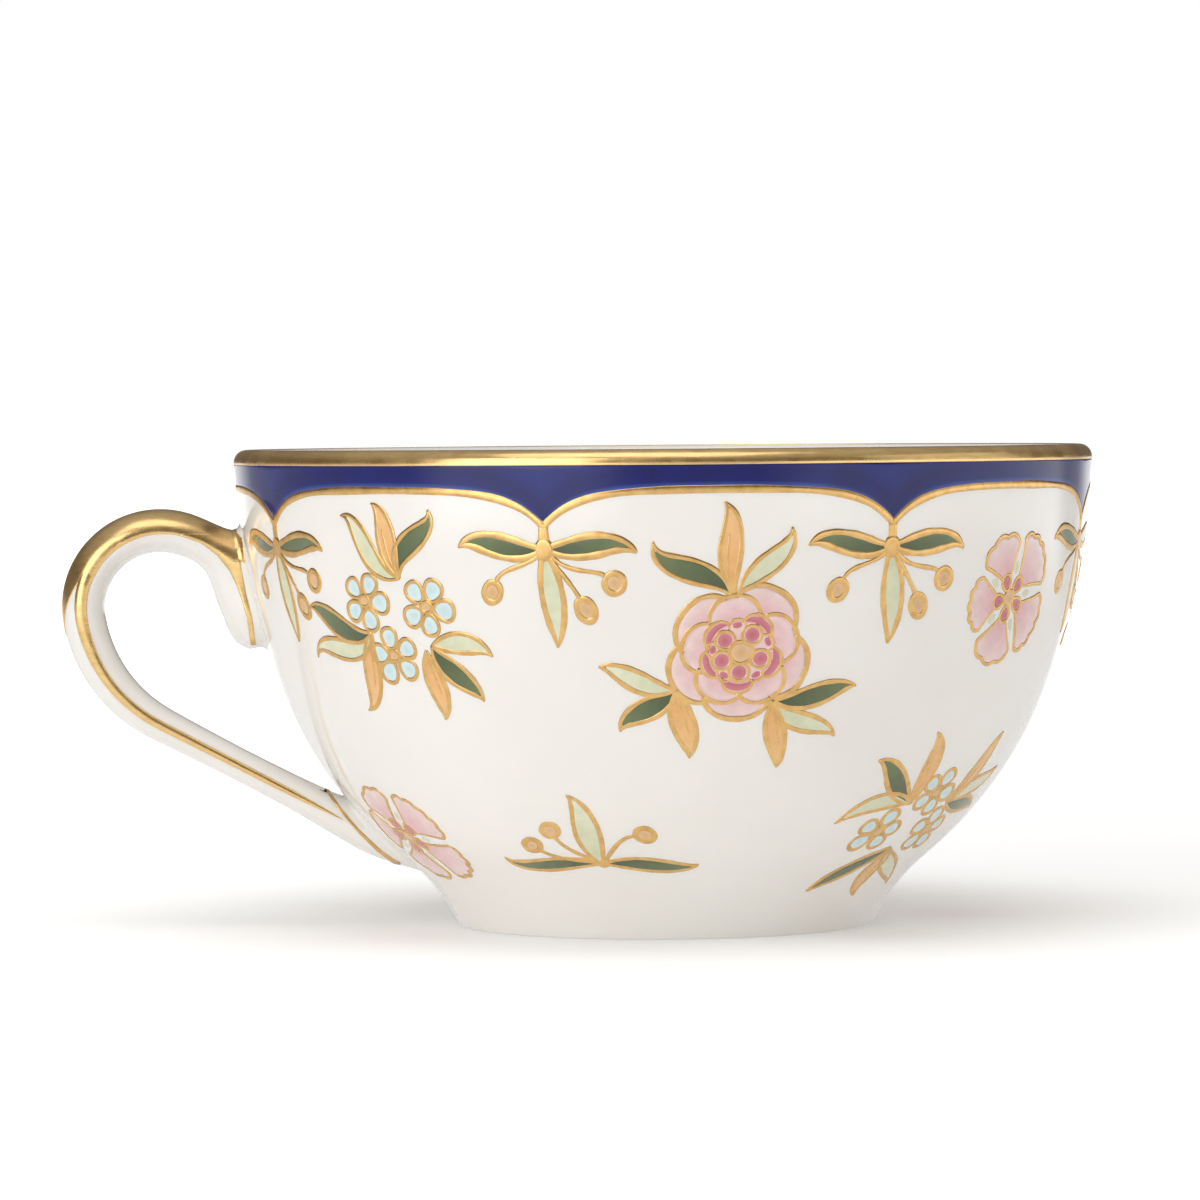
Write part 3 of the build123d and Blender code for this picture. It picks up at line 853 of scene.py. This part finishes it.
def ruffled_petal(spray, direction, reach, lobes):
    """A broad petal with a lobed tip, deeper pink towards the middle."""
    narrow, broad = RUFFLED_HALF_ANGLES
    share = np.linspace(-1, 1, 46)
    ruffle = 0.36 * (np.abs(np.cos(lobes * math.pi / 2 * share)) - 0.5)
    tip = reach * (1 - 0.13 * np.abs(share) ** 2.5) + ruffle
    rows = []
    for part in np.linspace(0, 1, 12):
        spread = narrow + (broad - narrow) * part**0.55
        rows.append(polar(RUFFLED_INNER + (tip - RUFFLED_INNER) * part, direction + spread * share))
    rows = np.stack(rows, axis=1)
    lift = np.full(rows.shape[:2], FILL_HEIGHT)
    lift[:, 0] = lift[:, -1] = lift[0, :] = lift[-1, :] = -0.03
    tones = np.repeat(np.linspace(0, 1, 12)[None, :], len(share), axis=0)
    lifts = np.concatenate([lift[:, :1] - 0.02, lift, lift[:, -1:] - 0.02], axis=1)
    spray.flowers.bar(spray.lay(edged(rows), lifts), 0, False, edged(tones))
    outline = np.concatenate([rows[0], rows[1:, -1], rows[-1, -2::-1]])
    spray.stroke(along(outline, 90), 0.5, taper=(0.6, 0.6))


def rosette_head(spray, start):
    """Five ruffled pink petals round rose beads and a gold-ringed heart."""
    reaches = [8.3, 7.4, 7.0, 7.7, 8.2]
    for index, reach in enumerate(reaches):
        direction = start + 72 * index + RNG.uniform(-3, 3)
        ruffled_petal(spray, direction, reach, 3 if index % 2 else 5)
        wedge = polar(np.array([3.5]), np.array([direction + 36]))[0]
        spray.disc(spray.flowers, wedge, 0.5, 3, (1.5, 0.8), height=0.04, turn=math.radians(direction + 36))
        place = polar(np.array([1.95]), np.array([direction + 4]))[0]
        spray.disc(spray.flowers, place, 0.72, 1, (1.15, 0.85), height=0.08, turn=math.radians(direction))
        spray.stroke(oval(place, 0.98, 0.8, math.radians(direction), 0.2), 0.42, closed=True)
    spray.disc(spray.flowers, (0.0, 0.0), 0.85, 2, height=0.13)
    spray.stroke(oval((0.0, 0.0), 0.86, 0.82), 0.45, closed=True, height=LINE_HEIGHT * 1.25)


# ---- Sprays: base, then (tip, colour, curl near the base and near the tip) of each leaf ----

PEONY_FANS = [
    ((-1.4, 6.5), [((-10.0, 12.5), "green", (-0.16, 0.28))]),
    ((-0.9, 6.7), [((-2.3, 16.8), "amber", (0.12, -0.18))]),
    ((-0.4, 6.6), [((5.3, 14.0), "pale", (0.07, -0.25))]),
    ((-6.9, -4.3), [
        ((-15.5, -1.6), "pale", (0.17, -0.10)), ((-12.7, -9.3), "green", (0.11, -0.21)),
        ((-4.9, -12.7), "amber", (-0.06, 0.10)),
    ]),
    ((4.0, -5.7), [
        ((13.7, -4.2), "green", (-0.15, 0.11)), ((11.5, -10.3), "pale", (-0.26, 0.15)),
        ((5.0, -14.1), "amber", (-0.05, 0.06)),
    ]),
]
UPPER_BLUE_BLOSSOMS = [((-4.8, 1.9), -6), ((4.1, 1.3), -12), ((-1.7, -4.4), 26)]
UPPER_BLUE_FANS = [
    ((0.9, 4.6), [
        ((-7.3, 11.5), "pale", (0.30, -0.23)), ((-2.3, 12.9), "amber", (0.09, -0.21)),
        ((5.6, 12.2), "green", (0.32, -0.27)),
    ]),
    ((-4.6, -1.7), [
        ((-15.2, 1.0), "green", (0.28, -0.15)), ((-15.6, -4.9), "pale", (0.36, -0.30)),
        ((-8.2, -11.1), "amber", (-0.04, 0.24)),
    ]),
    ((3.9, -3.1), [((11.4, -4.3), "pale", (0.13, 0.21)), ((9.0, -9.6), "green", (-0.15, 0.12))]),
    ((3.0, -3.7), [((3.3, -11.9), "amber", (-0.04, 0.13))]),
]
LOWER_BLUE_BLOSSOMS = [((-4.3, -1.9), 12), ((1.7, 3.6), -4), ((5.3, -2.3), 20)]
LOWER_BLUE_FANS = [
    ((-2.0, 2.3), [
        ((-11.7, -0.2), "pale", (-0.25, -0.20)), ((-10.9, 8.7), "green", (0.10, -0.15)),
        ((-3.6, 12.0), "amber", (-0.03, -0.20)),
    ]),
    ((5.4, 2.0), [
        ((11.0, 11.3), "amber", (-0.10, 0.02)), ((15.2, 6.4), "pale", (0.05, -0.12)),
        ((14.6, 0.4), "green", (-0.08, 0.14)),
    ]),
    ((0.3, -4.9), [
        ((-7.4, -11.9), "green", (0.02, -0.04)), ((1.2, -13.2), "amber", (0.15, -0.18)),
        ((7.6, -11.9), "pale", (-0.12, 0.10)),
    ]),
]


def fans(spray, groups):
    """Leaves that spring from shared points."""
    for base, leaves in groups:
        for tip, colour, curl in leaves:
            leaf(spray, base, tip, colour, curl)


def draw_peony(spray):
    """A peony with its leaves."""
    fans(spray, PEONY_FANS)
    peony_head(spray)


BLUE_DRAWINGS = {
    "upper": (UPPER_BLUE_FANS, UPPER_BLUE_BLOSSOMS),
    "lower": (LOWER_BLUE_FANS, LOWER_BLUE_BLOSSOMS),
}


def draw_blue(spray, place):
    """A blue spray, as it is drawn high or low on the wall."""
    leaves, blossoms = BLUE_DRAWINGS[place]
    fans(spray, leaves)
    for centre, start in blossoms:
        blue_blossom(spray, centre, start)


def draw_sprig(spray):
    """Two long leaves lying level, an upright one and three buds."""
    root = (-0.5, 0.4)
    leaf(spray, root, (-12.6, 1.2), "green", (-0.04, 0.22), 0.85)
    leaf(spray, root, (10.1, 0.3), "green", (0.07, -0.13), 0.85)
    leaf(spray, root, (-3.2, 11.3), "pale", (0.06, -0.15), 1.2)
    bud(spray, [root, (-2.5, 1.0), (-6.0, 1.0)], (-8.5, 3.5), 1.35)
    bud(spray, [root, (-2.0, 1.6), (-4.6, 2.6)], (-5.9, 6.0), 1.35)
    bud(spray, [root, (0.6, 2.4), (1.8, 5.0)], (4.9, 5.4), 1.4)
    spray.disc(spray.gold, root, 0.7, 0, height=0.12)


PENDANT_ROOT = (0.0, -2.5)


def draw_pendant(spray):
    """Hung from a cusp: a leaf each side, a spear in the middle and three buds."""
    spray.stroke([(0, 0.5), (0, -0.4), (0, -1.4), (0, -2.8)], 1.2, taper=(1, 1))
    leaf(spray, PENDANT_ROOT, (-10.1, -2.4), "green", (0.12, -0.20), 0.88, (0.04, 0.88), 0.85)
    leaf(spray, PENDANT_ROOT, (10.2, -3.0), "green", (-0.04, 0.20), 0.88, (0.04, 0.88), 0.85)
    leaf(spray, PENDANT_ROOT, (0.8, -13.6), "pale", (0.02, 0.05), 1.05, (0.04, 0.93), 0.75)
    bud(spray, [(-0.4, -3.0), (-2.2, -4.9), (-5.0, -4.4)], (-6.3, -7.4), 1.5, (1.0, 0.85), math.radians(75))
    bud(spray, [(0.5, -3.4), (2.2, -5.8), (3.2, -7.0)], (4.3, -9.4), 1.5, (1.15, 0.85), math.radians(115))
    bud(spray, [(0.5, -3.0), (2.4, -5.6), (5.6, -4.7)], (7.6, -6.4), 1.5, (1.0, 0.92), math.radians(80))
    spray.disc(spray.gold, (0.0, -2.7), 1.2, 0, (0.95, 1.15), height=0.12)


LEAF_MATERIALS = [GREEN, AMBER, PALE, TAN]


def place_spray(name, angle, z, draw, flower_materials, slot, leafed=True):
    """Draw one spray on the wall in place of its CAD nodes."""
    spray = Spray(angle, z)
    draw(spray)
    leaf_node = f"{name}_leaves" if leafed and slot else None
    if spray.flowers.points:
        spray.flowers.build(f"{name}_petals", flower_materials, [name], slot)
    if spray.leaves.points:
        replaced = [leaf_node] if leaf_node else [name]
        spray.leaves.build(f"{name}_leaf_enamel", LEAF_MATERIALS, replaced, "enamel_green")
    spray.gold.build(f"{name}_gilding", [GOLD_LINE], [], "gold")


PEONIES = {"front": (-84.3, 33.3), "back": (49.0, 33.3)}
BLUE_SPRAYS = {
    "upper_left": (-132.6, 37.0),
    "upper_right": (6.5, 37.0),
    "upper_back": (138.5, 37.0),
    "lower_front": (-44.4, 13.6),
    "lower_back": (116.0, 13.6),
}
ROSETTES = {
    "upper_right": (-41.0, 38.5, 40.0),
    "upper_back": (91.5, 38.5, 54.0),
    "lower_left": (-153.5, 11.5, 30.0),
    "lower_right": (9.0, 11.5, 46.0),
}
SPRIGS = {"front": (-106.3, 8.9), "back": (60.0, 8.9)}
CUSP_Z = SCALLOP_Z - SCALLOP_DEPTH + 0.1


def build_sprays():
    """Every enamel spray round the cup."""
    for name, (angle, z) in PEONIES.items():
        place_spray(f"peony_{name}", angle, z, draw_peony, [PINK, ROSE, TAN], "enamel_pink")
    for name, (angle, z) in BLUE_SPRAYS.items():
        place_spray(f"blue_spray_{name}", angle, z, partial(draw_blue, place=name.split("_")[0]),
                    [BLUE, TAN], "enamel_blue")
    for name, (angle, z, start) in ROSETTES.items():
        materials = [PINK, ROSE, TAN, PALE]
        place_spray(f"rosette_{name}", angle, z, partial(rosette_head, start=start),
                    materials, "enamel_pink", False)
    for name, (angle, z) in SPRIGS.items():
        place_spray(f"sprig_{name}", angle, z, draw_sprig, [], None, False)
    for index, angle in enumerate(CUSPS[:-1], 1):
        place_spray(f"pendant_{index}", angle, CUSP_Z, draw_pendant, [], None, False)


def build_scallop_line():
    """The gold line along the scallops."""
    turns = scallop_directions()
    runs = run_at(scallop_drop(turns))
    points = np.column_stack([np.radians(turns) * RIM_RADIUS, runs])
    flow = np.roll(points, -1, axis=0) - np.roll(points, 1, axis=0)
    seam = np.abs(flow[:, 0]) > RIM_RADIUS
    half_round = math.pi * RIM_RADIUS
    flow[seam, 0] = (flow[seam, 0] + half_round) % (2 * math.pi * RIM_RADIUS) - half_round
    share = np.linspace(0, 1, len(points), endpoint=False)
    wave = 1 + 0.08 * np.sin(share * 6.283 * 23) + 0.06 * np.sin(share * 6.283 * 41 + 1)
    half = SCALLOP_LINE / 2 * wave
    flat, lift = ribbon(points, left_of(flow), half, SCALLOP_LINE_HEIGHT)
    piece = Piece()
    piece.bar(wall_place(flat[..., 0] / RIM_RADIUS, flat[..., 1], lift), closed=True)
    return piece.build("scallop_line_gold", [GOLD_LINE], ["gilt_scallop_line"], "gold")


# ---- Handle ----


def handle_path():
    """Middle line of the handle from inside the wall over the loop and down the spur."""
    top = on_circle(LOOP_CENTRE, LOOP_RADIUS, LOOP_START)
    side = on_circle(LOOP_CENTRE, LOOP_RADIUS, LOOP_END)
    slope = heading(LOOP_START - 90)
    root = (ROOT_X, top[1] + slope[1] / slope[0] * (ROOT_X - top[0]))
    side_centre = on_circle(side, SIDE_RADIUS, LOOP_END + 180)
    side_arc = arc(side_centre, SIDE_RADIUS, LOOP_END, LOOP_END + SIDE_TURN, 60)
    run = np.subtract(SPUR_START, side_arc[-1])
    run = run / np.linalg.norm(run)
    return join(
        along([root, top], 30),
        arc(LOOP_CENTRE, LOOP_RADIUS, LOOP_START, LOOP_END, 90),
        side_arc,
        along([side_arc[-1], SPUR_START], 40),
        tangent_arc(SPUR_START, run, SPUR_END, 40),
    )


EASING_STEPS = 40


def easing(points):
    """The same path with its joins between arcs eased."""
    points = np.array(points)
    for _ in range(EASING_STEPS):
        points[1:-1] = 0.25 * points[:-2] + 0.5 * points[1:-1] + 0.25 * points[2:]
    return points


HANDLE_PATH = easing(along(handle_path(), 400))
HANDLE_OUT = curve_normals(HANDLE_PATH)


def handle_point(share, away, across):
    """Points beside the handle's path: away from the finger hole and across its plane."""
    places = np.linspace(0, 1, len(HANDLE_PATH))
    x, z = read_off(share, places, HANDLE_PATH)
    out, up = read_off(share, places, HANDLE_OUT)
    x = x + away * out
    return np.stack([x, across + 0 * x, z + away * up], axis=-1)


def handle_skin(share, turn, grow=0.0):
    """Points on the handle's skin; turn 0 is the outermost line, 90 degrees the side."""
    thick, wide = (through(HANDLE_SECTIONS, share) + grow).T
    across = wide * np.sign(np.sin(turn)) * np.abs(np.sin(turn)) ** 0.96
    return handle_point(share, thick * np.cos(turn), across)


TUBE_POINTS = 40


def tube_rows(path, out, sections, count):
    """Cross-sections of a tube along a path in the handle's plane, with rounded ends."""
    places = np.linspace(0, 1, len(path))
    shares = np.linspace(0, 1, count)
    thick, wide = through(sections, shares).T
    middle = np.column_stack(read_off(shares, places, path))
    side = np.column_stack(read_off(shares, places, out))
    turns = np.linspace(0, 2 * math.pi, TUBE_POINTS, endpoint=False)
    rows = np.zeros((count, TUBE_POINTS, 3))
    away = thick[:, None] * np.cos(turns)
    rows[:, :, 0] = middle[:, :1] + side[:, :1] * away
    rows[:, :, 2] = middle[:, 1:] + side[:, 1:] * away
    rows[:, :, 1] = wide[:, None] * np.sin(turns)
    return rows


def neighbours_mean(points, edges, counts):
    """Mean of each point's neighbours."""
    total = np.zeros_like(points)
    for axis in range(3):
        total[:, axis] += np.bincount(edges[:, 0], points[edges[:, 1], axis], len(points))
        total[:, axis] += np.bincount(edges[:, 1], points[edges[:, 0], axis], len(points))
    return total / counts[:, None]


CREASE = (-52.6, 42.0)
CREASE_REACH = 4.4


def soften(points, edges):
    """Smooth the skin a little everywhere and much more where the tongue leaves the handle."""
    counts = np.maximum(np.bincount(edges.ravel(), minlength=len(points)), 1)
    gap = np.hypot(points[:, 0] - CREASE[0], points[:, 2] - CREASE[1])
    local = np.exp(-((gap / CREASE_REACH) ** 2))[:, None]
    for step in range(110):
        pull = 0.5 if step < 8 else 0.5 * local
        points = points + pull * (neighbours_mean(points, edges, counts) - points)
    return points


def flare(points, normals):
    """Spread the skin into a small fillet where it meets the wall."""
    away, outward = wall_distance(points)
    sideways = normals - (normals * outward).sum(axis=1)[:, None] * outward
    size = np.linalg.norm(sideways, axis=1)
    sideways /= np.maximum(size, 1e-6)[:, None]
    part = np.clip(1 - away / ROOT_FILLET, 0, 1)
    spread = ROOT_FILLET * (1 - np.sqrt(np.clip(1 - part**2, 0, 1))) * np.clip(size * 1.5, 0, 1)
    return points + sideways * spread[:, None]


CLAY_VOXEL = 0.3


def handle_clay():
    """Handle and tongue melted into one skin with filleted roots, as a mesh."""
    tongue = along(three_point_arc(*TONGUE_PATH, 60), 120)
    piece = Piece()
    piece.bar(tube_rows(HANDLE_PATH, HANDLE_OUT, HANDLE_SECTIONS, 260))
    piece.bar(tube_rows(tongue, curve_normals(tongue), TONGUE_SECTIONS, 90))
    web = along(three_point_arc(*WEB_PATH, 60), 120)
    piece.bar(tube_rows(web, curve_normals(web), WEB_SECTIONS, 70))
    mesh = bpy.data.meshes.new("handle_rough")
    mesh.from_pydata([tuple(point) for point in np.concatenate(piece.points) * MM], [], piece.faces)
    tidy_mesh(mesh, 1e-7)
    rough = put("handle_rough", mesh)
    remesh = rough.modifiers.new("melt", "REMESH")
    remesh.mode = "VOXEL"
    remesh.voxel_size = CLAY_VOXEL * MM
    graph = bpy.context.evaluated_depsgraph_get()
    melted = bpy.data.meshes.new_from_object(rough.evaluated_get(graph))
    bpy.data.objects.remove(rough)
    points = np.array([vertex.co for vertex in melted.vertices]) / MM
    edges = np.array([edge.vertices[:] for edge in melted.edges])
    points = soften(points, edges)
    melted.vertices.foreach_set("co", (points * MM).ravel())
    melted.update()
    normals = np.array([vertex.normal for vertex in melted.vertices])
    points = flare(points, normals)
    melted.vertices.foreach_set("co", (points * MM).ravel())
    melted.update()
    melted.polygons.foreach_set("use_smooth", [True] * len(melted.polygons))
    return melted


def skin_tree(*objects):
    """Nearest-point search over the clay of several pieces, in metres."""
    points, faces = [], []
    for obj in objects:
        base = len(points)
        points += [vertex.co.copy() for vertex in obj.data.vertices]
        faces += [[base + corner for corner in face.vertices] for face in obj.data.polygons]
    return BVHTree.FromPolygons(points, faces)


def snap(tree, points, lift):
    """Points moved onto the skin and lifted off it."""
    snapped = np.zeros_like(points)
    for index in np.ndindex(points.shape[:-1]):
        place, normal, _, _ = tree.find_nearest(Vector(points[index]) * MM)
        snapped[index] = np.array(place) / MM + np.array(normal) * lift[index]
    return snapped


def cast_side(tree, x, z, side, lift):
    """Point on the skin seen from one side, lifted off it."""
    start = Vector((x * MM, side * 0.02, z * MM))
    place, normal, _, _ = tree.ray_cast(start, Vector((0, -side, 0)))
    if place is None or abs(place.y) > 0.0095:
        place, normal, _, _ = tree.find_nearest(Vector((x * MM, side * 0.002, z * MM)))
    return np.array(place) / MM + np.array(normal) * lift


CREST_HALF_TURN = math.radians(91)
CREST_END = 0.372
CREST_SLANT = 0.075
CREST_LIFT = 0.075
CREST_SUNK = 0.03


def wall_exits(turns):
    """Share of the handle's length at which each line along its skin leaves the wall."""
    shares = np.linspace(0, 0.12, 120)
    exits = []
    for turn in turns:
        away, _ = wall_distance(handle_skin(shares, turn))
        exits.append(shares[np.argmax(away > 0.02)])
    return np.array(exits)


def flared_skin(share, turns):
    """Points on the handle's skin with the fillet that it has at the wall, less at its sides."""
    skin = handle_skin(share, turns)
    away, outward = wall_distance(skin)
    spread = handle_skin(share, turns, 1.0) - skin
    sideways = spread - (spread * outward).sum(axis=1)[:, None] * outward
    sideways /= np.linalg.norm(sideways, axis=1)[:, None]
    near = np.clip(1 - away / ROOT_FILLET, 0, 1)
    fade = np.clip((CREST_HALF_TURN - np.abs(turns)) / math.radians(38), 0, 1)
    return skin + sideways * (ROOT_FILLET * (1 - np.sqrt(1 - near**2)) * fade)[:, None]


def build_crest_gold(tree):
    """Gold over the outer half of the handle's loop, from the wall to a slanting edge."""
    spread = np.linspace(-1, 1, 49)
    turns = spread * CREST_HALF_TURN
    start = wall_exits(turns)
    end = CREST_END - CREST_SLANT * np.clip(np.abs(turns) / math.radians(60), 0, 1) ** 1.2
    rows = []
    for part in np.linspace(0, 1, 130):
        share = start + (end - start) * part**1.15
        lower = through([(0, -0.02), (0.1, -0.1), (0.2, -0.2), (0.4, -0.2)], share)[:, 0]
        edge = spread * np.arccos(np.clip(lower, -0.9, 0.9))
        rows.append(flared_skin(share, edge))
    rows = np.array(rows)
    lift = np.full(rows.shape[:2], CREST_LIFT)
    lift[0, :] = lift[-1, :] = lift[:, 0] = lift[:, -1] = -CREST_SUNK
    piece = Piece()
    piece.bar(snap(tree, rows, lift))
    return piece.build("crest_gold", [GOLD_BAND], ["gilt_handle_crest"], "gold")


def build_side_line(tree, side, name, node):
    """The raised gold line down one side of the handle."""
    shares = np.linspace(0.268, 0.865, 150)
    low, high = through(GILT_SIDE_LINE, shares).T
    share = STROKE_SECTION[:, 0]
    away = (low + high)[:, None] / 2 + np.maximum(high - low, 0.08)[:, None] / 2 * share
    thick, wide = through(HANDLE_SECTIONS, shares).T
    across = side * wide[:, None] * np.sqrt(np.clip(1 - (away / thick[:, None]) ** 2, 0, 1))
    rows = handle_point(np.repeat(shares[:, None], len(share), axis=1), away, across)
    height = 0.2 * np.minimum(1, (high - low) / 0.9) * np.clip((shares - shares[0]) / 0.03, 0.35, 1)
    lift = STROKE_SECTION[:, 1] * np.maximum(height, 0.06)[:, None]
    piece = Piece()
    piece.bar(snap(tree, rows, lift))
    return piece.build(name, [GOLD_BAND], [node], "gold")


def strip_rows(tree, left, right, side, across=9):
    """A raised strip between two lines drawn in the handle's plane, seen from one side."""
    rows = np.zeros((len(left), across, 3))
    share = np.linspace(0, 1, across)
    for row in range(len(left)):
        for column in range(across):
            x, z = left[row] * (1 - share[column]) + right[row] * share[column]
            dome = math.sqrt(max(0, 1 - abs(2 * share[column] - 1) ** 3))
            lift = ROOT_GOLD_HEIGHT * dome if 0 < dome else -FILL_SUNK
            rows[row, column] = cast_side(tree, x, z, side, lift)
    return rows


def build_root_lines(tree):
    """Gold down the tongue's sides and along the spur's joint with the wall."""
    upper, lower = Piece(), Piece()
    left = along([pair[0] for pair in UPPER_ROOT_GOLD], 60)
    right = along([pair[1] for pair in UPPER_ROOT_GOLD], 60)
    middle = along(LOWER_ROOT_GOLD, 50)
    beside = left_of(np.gradient(middle, axis=0))
    share = np.linspace(0, 1, len(middle))
    half = LOWER_ROOT_WIDTH / 2 * (0.75 + 0.5 * share**2 + 0.5 * np.exp(-(((share - 0.97) / 0.04) ** 2)))
    for side in (-1, 1):
        upper.bar(strip_rows(tree, left, right, side))
        edges = middle + beside * half[:, None], middle - beside * half[:, None]
        lower.bar(strip_rows(tree, *edges, side, 7))
    upper.build("upper_root_gold", [GOLD_BAND], ["gilt_upper_root_line"], "gold")
    lower.build("lower_root_gold", [GOLD_LINE], ["gilt_lower_root_line"], "gold")


def build_handle(bowl):
    """The handle and everything gilded on it."""
    replaced = ["handle", "upper_slip_joint", "lower_slip_joint"]
    obj = finish_piece(put("handle_body", handle_clay()), [CHINA], replaced)
    tree = skin_tree(bowl, obj)
    build_crest_gold(tree)
    for side, place in ((-1, "front"), (1, "back")):
        build_side_line(tree, side, f"side_line_gold_{place}", f"gilt_handle_line_{place}")
    build_root_lines(tree)


# ---- Stage ----

CAMERA_DISTANCE = 0.686
CAMERA_HEIGHT = 0.0589
CAMERA_AZIMUTH = -4.7
CAMERA_PITCH = 1.77
CAMERA_AIM = 0.62
CAMERA_ROLL = 0.45
CAMERA_LENS = 176.3


def add_camera():
    """Camera a little left of the front, almost level with the rim."""
    data = bpy.data.cameras.new("camera")
    data.lens = CAMERA_LENS
    data.sensor_width = 36
    data.clip_start = 0.01
    camera = put("camera", data)
    turn = math.radians(CAMERA_AZIMUTH)
    place = (math.sin(turn) * CAMERA_DISTANCE, -math.cos(turn) * CAMERA_DISTANCE, CAMERA_HEIGHT)
    yaw = Matrix.Rotation(math.radians(CAMERA_AZIMUTH + CAMERA_AIM), 4, "Z")
    tilt = Matrix.Rotation(math.radians(90 - CAMERA_PITCH), 4, "X")
    roll = Matrix.Rotation(math.radians(-CAMERA_ROLL), 4, "Z")
    camera.matrix_world = Matrix.Translation(place) @ yaw @ tilt @ roll
    bpy.context.scene.camera = camera


def floor_fade(tree, near, far, first, last):
    """A value that changes with distance from the cup, in metres."""
    distance = add_node(tree, "VectorMath", {0: own_place(tree)}, operation="LENGTH")
    inputs = {
        "Value": distance.outputs["Value"], "From Min": near, "From Max": far, "To Min": first,
        "To Max": last,
    }
    return add_node(tree, "MapRange", inputs, interpolation_type="SMOOTHSTEP").outputs["Result"]


FLOOR_DARK, FLOOR_LEFT, FLOOR_RIGHT, FLOOR_BACK = 0.05, 1.3, 0.95, 0.8
# Light that the floor throws on the cup from each direction, in degrees.
FLOOR_GLOW = [
    (-180, FLOOR_DARK), (-161, FLOOR_DARK), (-150, FLOOR_LEFT), (-113, FLOOR_LEFT), (-102, FLOOR_DARK),
    (-70, FLOOR_DARK), (-57, FLOOR_RIGHT), (32, FLOOR_RIGHT), (40, FLOOR_DARK), (51, FLOOR_DARK),
    (62, FLOOR_BACK), (112, FLOOR_BACK), (124, FLOOR_DARK), (180, FLOOR_DARK),
]


def floor_glow(tree):
    """The strength of the floor's light on the cup, by direction."""
    split = add_node(tree, "SeparateXYZ", {0: own_place(tree)})
    turn = add_node(tree, "Math", {0: split.outputs["Y"], 1: split.outputs["X"]}, operation="ARCTAN2")
    inputs = {"Value": turn.outputs["Value"], "From Min": -math.pi, "From Max": math.pi}
    share = add_node(tree, "MapRange", inputs).outputs["Result"]
    return ramp(tree, share, [((angle + 180) / 360, grey(level)) for angle, level in FLOOR_GLOW])


def clear_from_below(tree, shader):
    """Let the underside be seen through the floor."""
    choice = add_node(tree, "MixShader", {
        "Fac": add_node(tree, "NewGeometry").outputs["Backfacing"],
        1: shader.outputs["BSDF"],
        2: add_node(tree, "BsdfTransparent").outputs["BSDF"],
    })
    feed(tree, tree.nodes["Material Output"].inputs["Surface"], choice.outputs["Shader"])


FLOOR_REACH = 6.0


def add_floor():
    """A wide pale floor that glows, which the camera sees paler than the light that it gives the cup, with
    painted shadow where its glow dims near the cup's foot.
    """
    mesh = bpy.data.meshes.new("floor")
    corners = [(x * FLOOR_REACH, y * FLOOR_REACH, 0) for x, y in ((-1, -1), (1, -1), (1, 1), (-1, 1))]
    mesh.from_pydata(corners, [], [(0, 1, 2, 3)])
    material, tree, shader = new_material("floor_white")
    seen = add_node(tree, "LightPath").outputs["Is Camera Ray"]
    lit = mix(tree, floor_fade(tree, 0.16, 0.40, 0.0, 1.0), grey(0.22), floor_glow(tree))
    # Painted shadow: the glow that the camera sees is weakest beside the cup's foot and grows farther out,
    # which darkens the floor round the foot like a soft contact shadow.
    beside = floor_fade(tree, 0.03, 0.08, 0.16, 0.36)
    beyond = floor_fade(tree, 0.10, 0.9, 0.0, 0.6)
    pale = mix(tree, 1.0, beside, beyond, "ADD")
    feed_all(tree, shader, {
        "Base Color": (0.87, 0.87, 0.865), "Roughness": 0.9, "Specular IOR Level": 0.2,
        "Emission Color": grey(1), "Emission Strength": mix(tree, seen, lit, pale),
    })
    clear_from_below(tree, shader)
    mesh.materials.append(material)
    put("floor", mesh)


def aim(obj, place, target):
    """Put an object somewhere and turn its face to a target."""
    obj.location = place
    obj.rotation_euler = (Vector(target) - Vector(place)).to_track_quat("-Z", "Y").to_euler()


LIGHT_TARGET = (0, 0, 0.03)
# Softboxes: direction and height in degrees seen from the cup, distance, width, height, watts.
SOFTBOXES = {
    "softbox_left": (-134, 16, 1.3, 0.95, 1.2, 7.7),
    "softbox_right": (-10, 18, 1.5, 1.3, 1.1, 2.4),
    "softbox_top": (-110, 70, 1.3, 1.1, 0.9, 4.0),
}


def add_softboxes():
    """Large soft lights, the strongest one from the front left."""
    for name, (azimuth, height, distance, width, tall, watts) in SOFTBOXES.items():
        data = bpy.data.lights.new(name, "AREA")
        data.shape = "RECTANGLE"
        data.size = width
        data.size_y = tall
        data.energy = watts
        light = put(name, data)
        level = math.cos(math.radians(height)) * distance
        turn = math.radians(azimuth)
        place = (level * math.cos(turn), level * math.sin(turn), math.sin(math.radians(height)) * distance)
        aim(light, place, LIGHT_TARGET)


def add_world():
    """A dim warm studio for reflections, white where the camera looks straight at it."""
    world = bpy.data.worlds.new("studio")
    bpy.context.scene.world = world
    world.use_nodes = True
    tree = world.node_tree
    place = add_node(tree, "TexCoord").outputs["Generated"]
    split = add_node(tree, "SeparateXYZ", {0: place})
    inputs = {"Value": split.outputs["Z"], "From Min": -1, "From Max": 1}
    room = ramp(tree, add_node(tree, "MapRange", inputs).outputs["Result"], [
        (0.0, grey(0.5)), (0.49, (0.22, 0.19, 0.165)), (0.66, (0.24, 0.21, 0.18)), (0.85, (0.55, 0.54, 0.53)),
        (1.0, grey(0.7)),
    ])
    path = add_node(tree, "LightPath")
    dimmed = mix(tree, 1.0, room, grey(0.7), "MULTIPLY")
    room = mix(tree, path.outputs["Is Glossy Ray"], room, dimmed)
    seen = mix(tree, path.outputs["Is Camera Ray"], room, grey(1.0))
    feed_all(tree, tree.nodes["Background"], {"Color": seen, "Strength": 1.0})


def main():
    """Build the cup and its stage."""
    bpy.context.scene.view_settings.view_transform = "Standard"
    bowl = build_bowl()
    build_rim_gold()
    build_cobalt()
    build_scallop_line()
    build_handle(bowl)
    build_sprays()
    add_floor()
    add_softboxes()
    add_world()
    add_camera()


main()
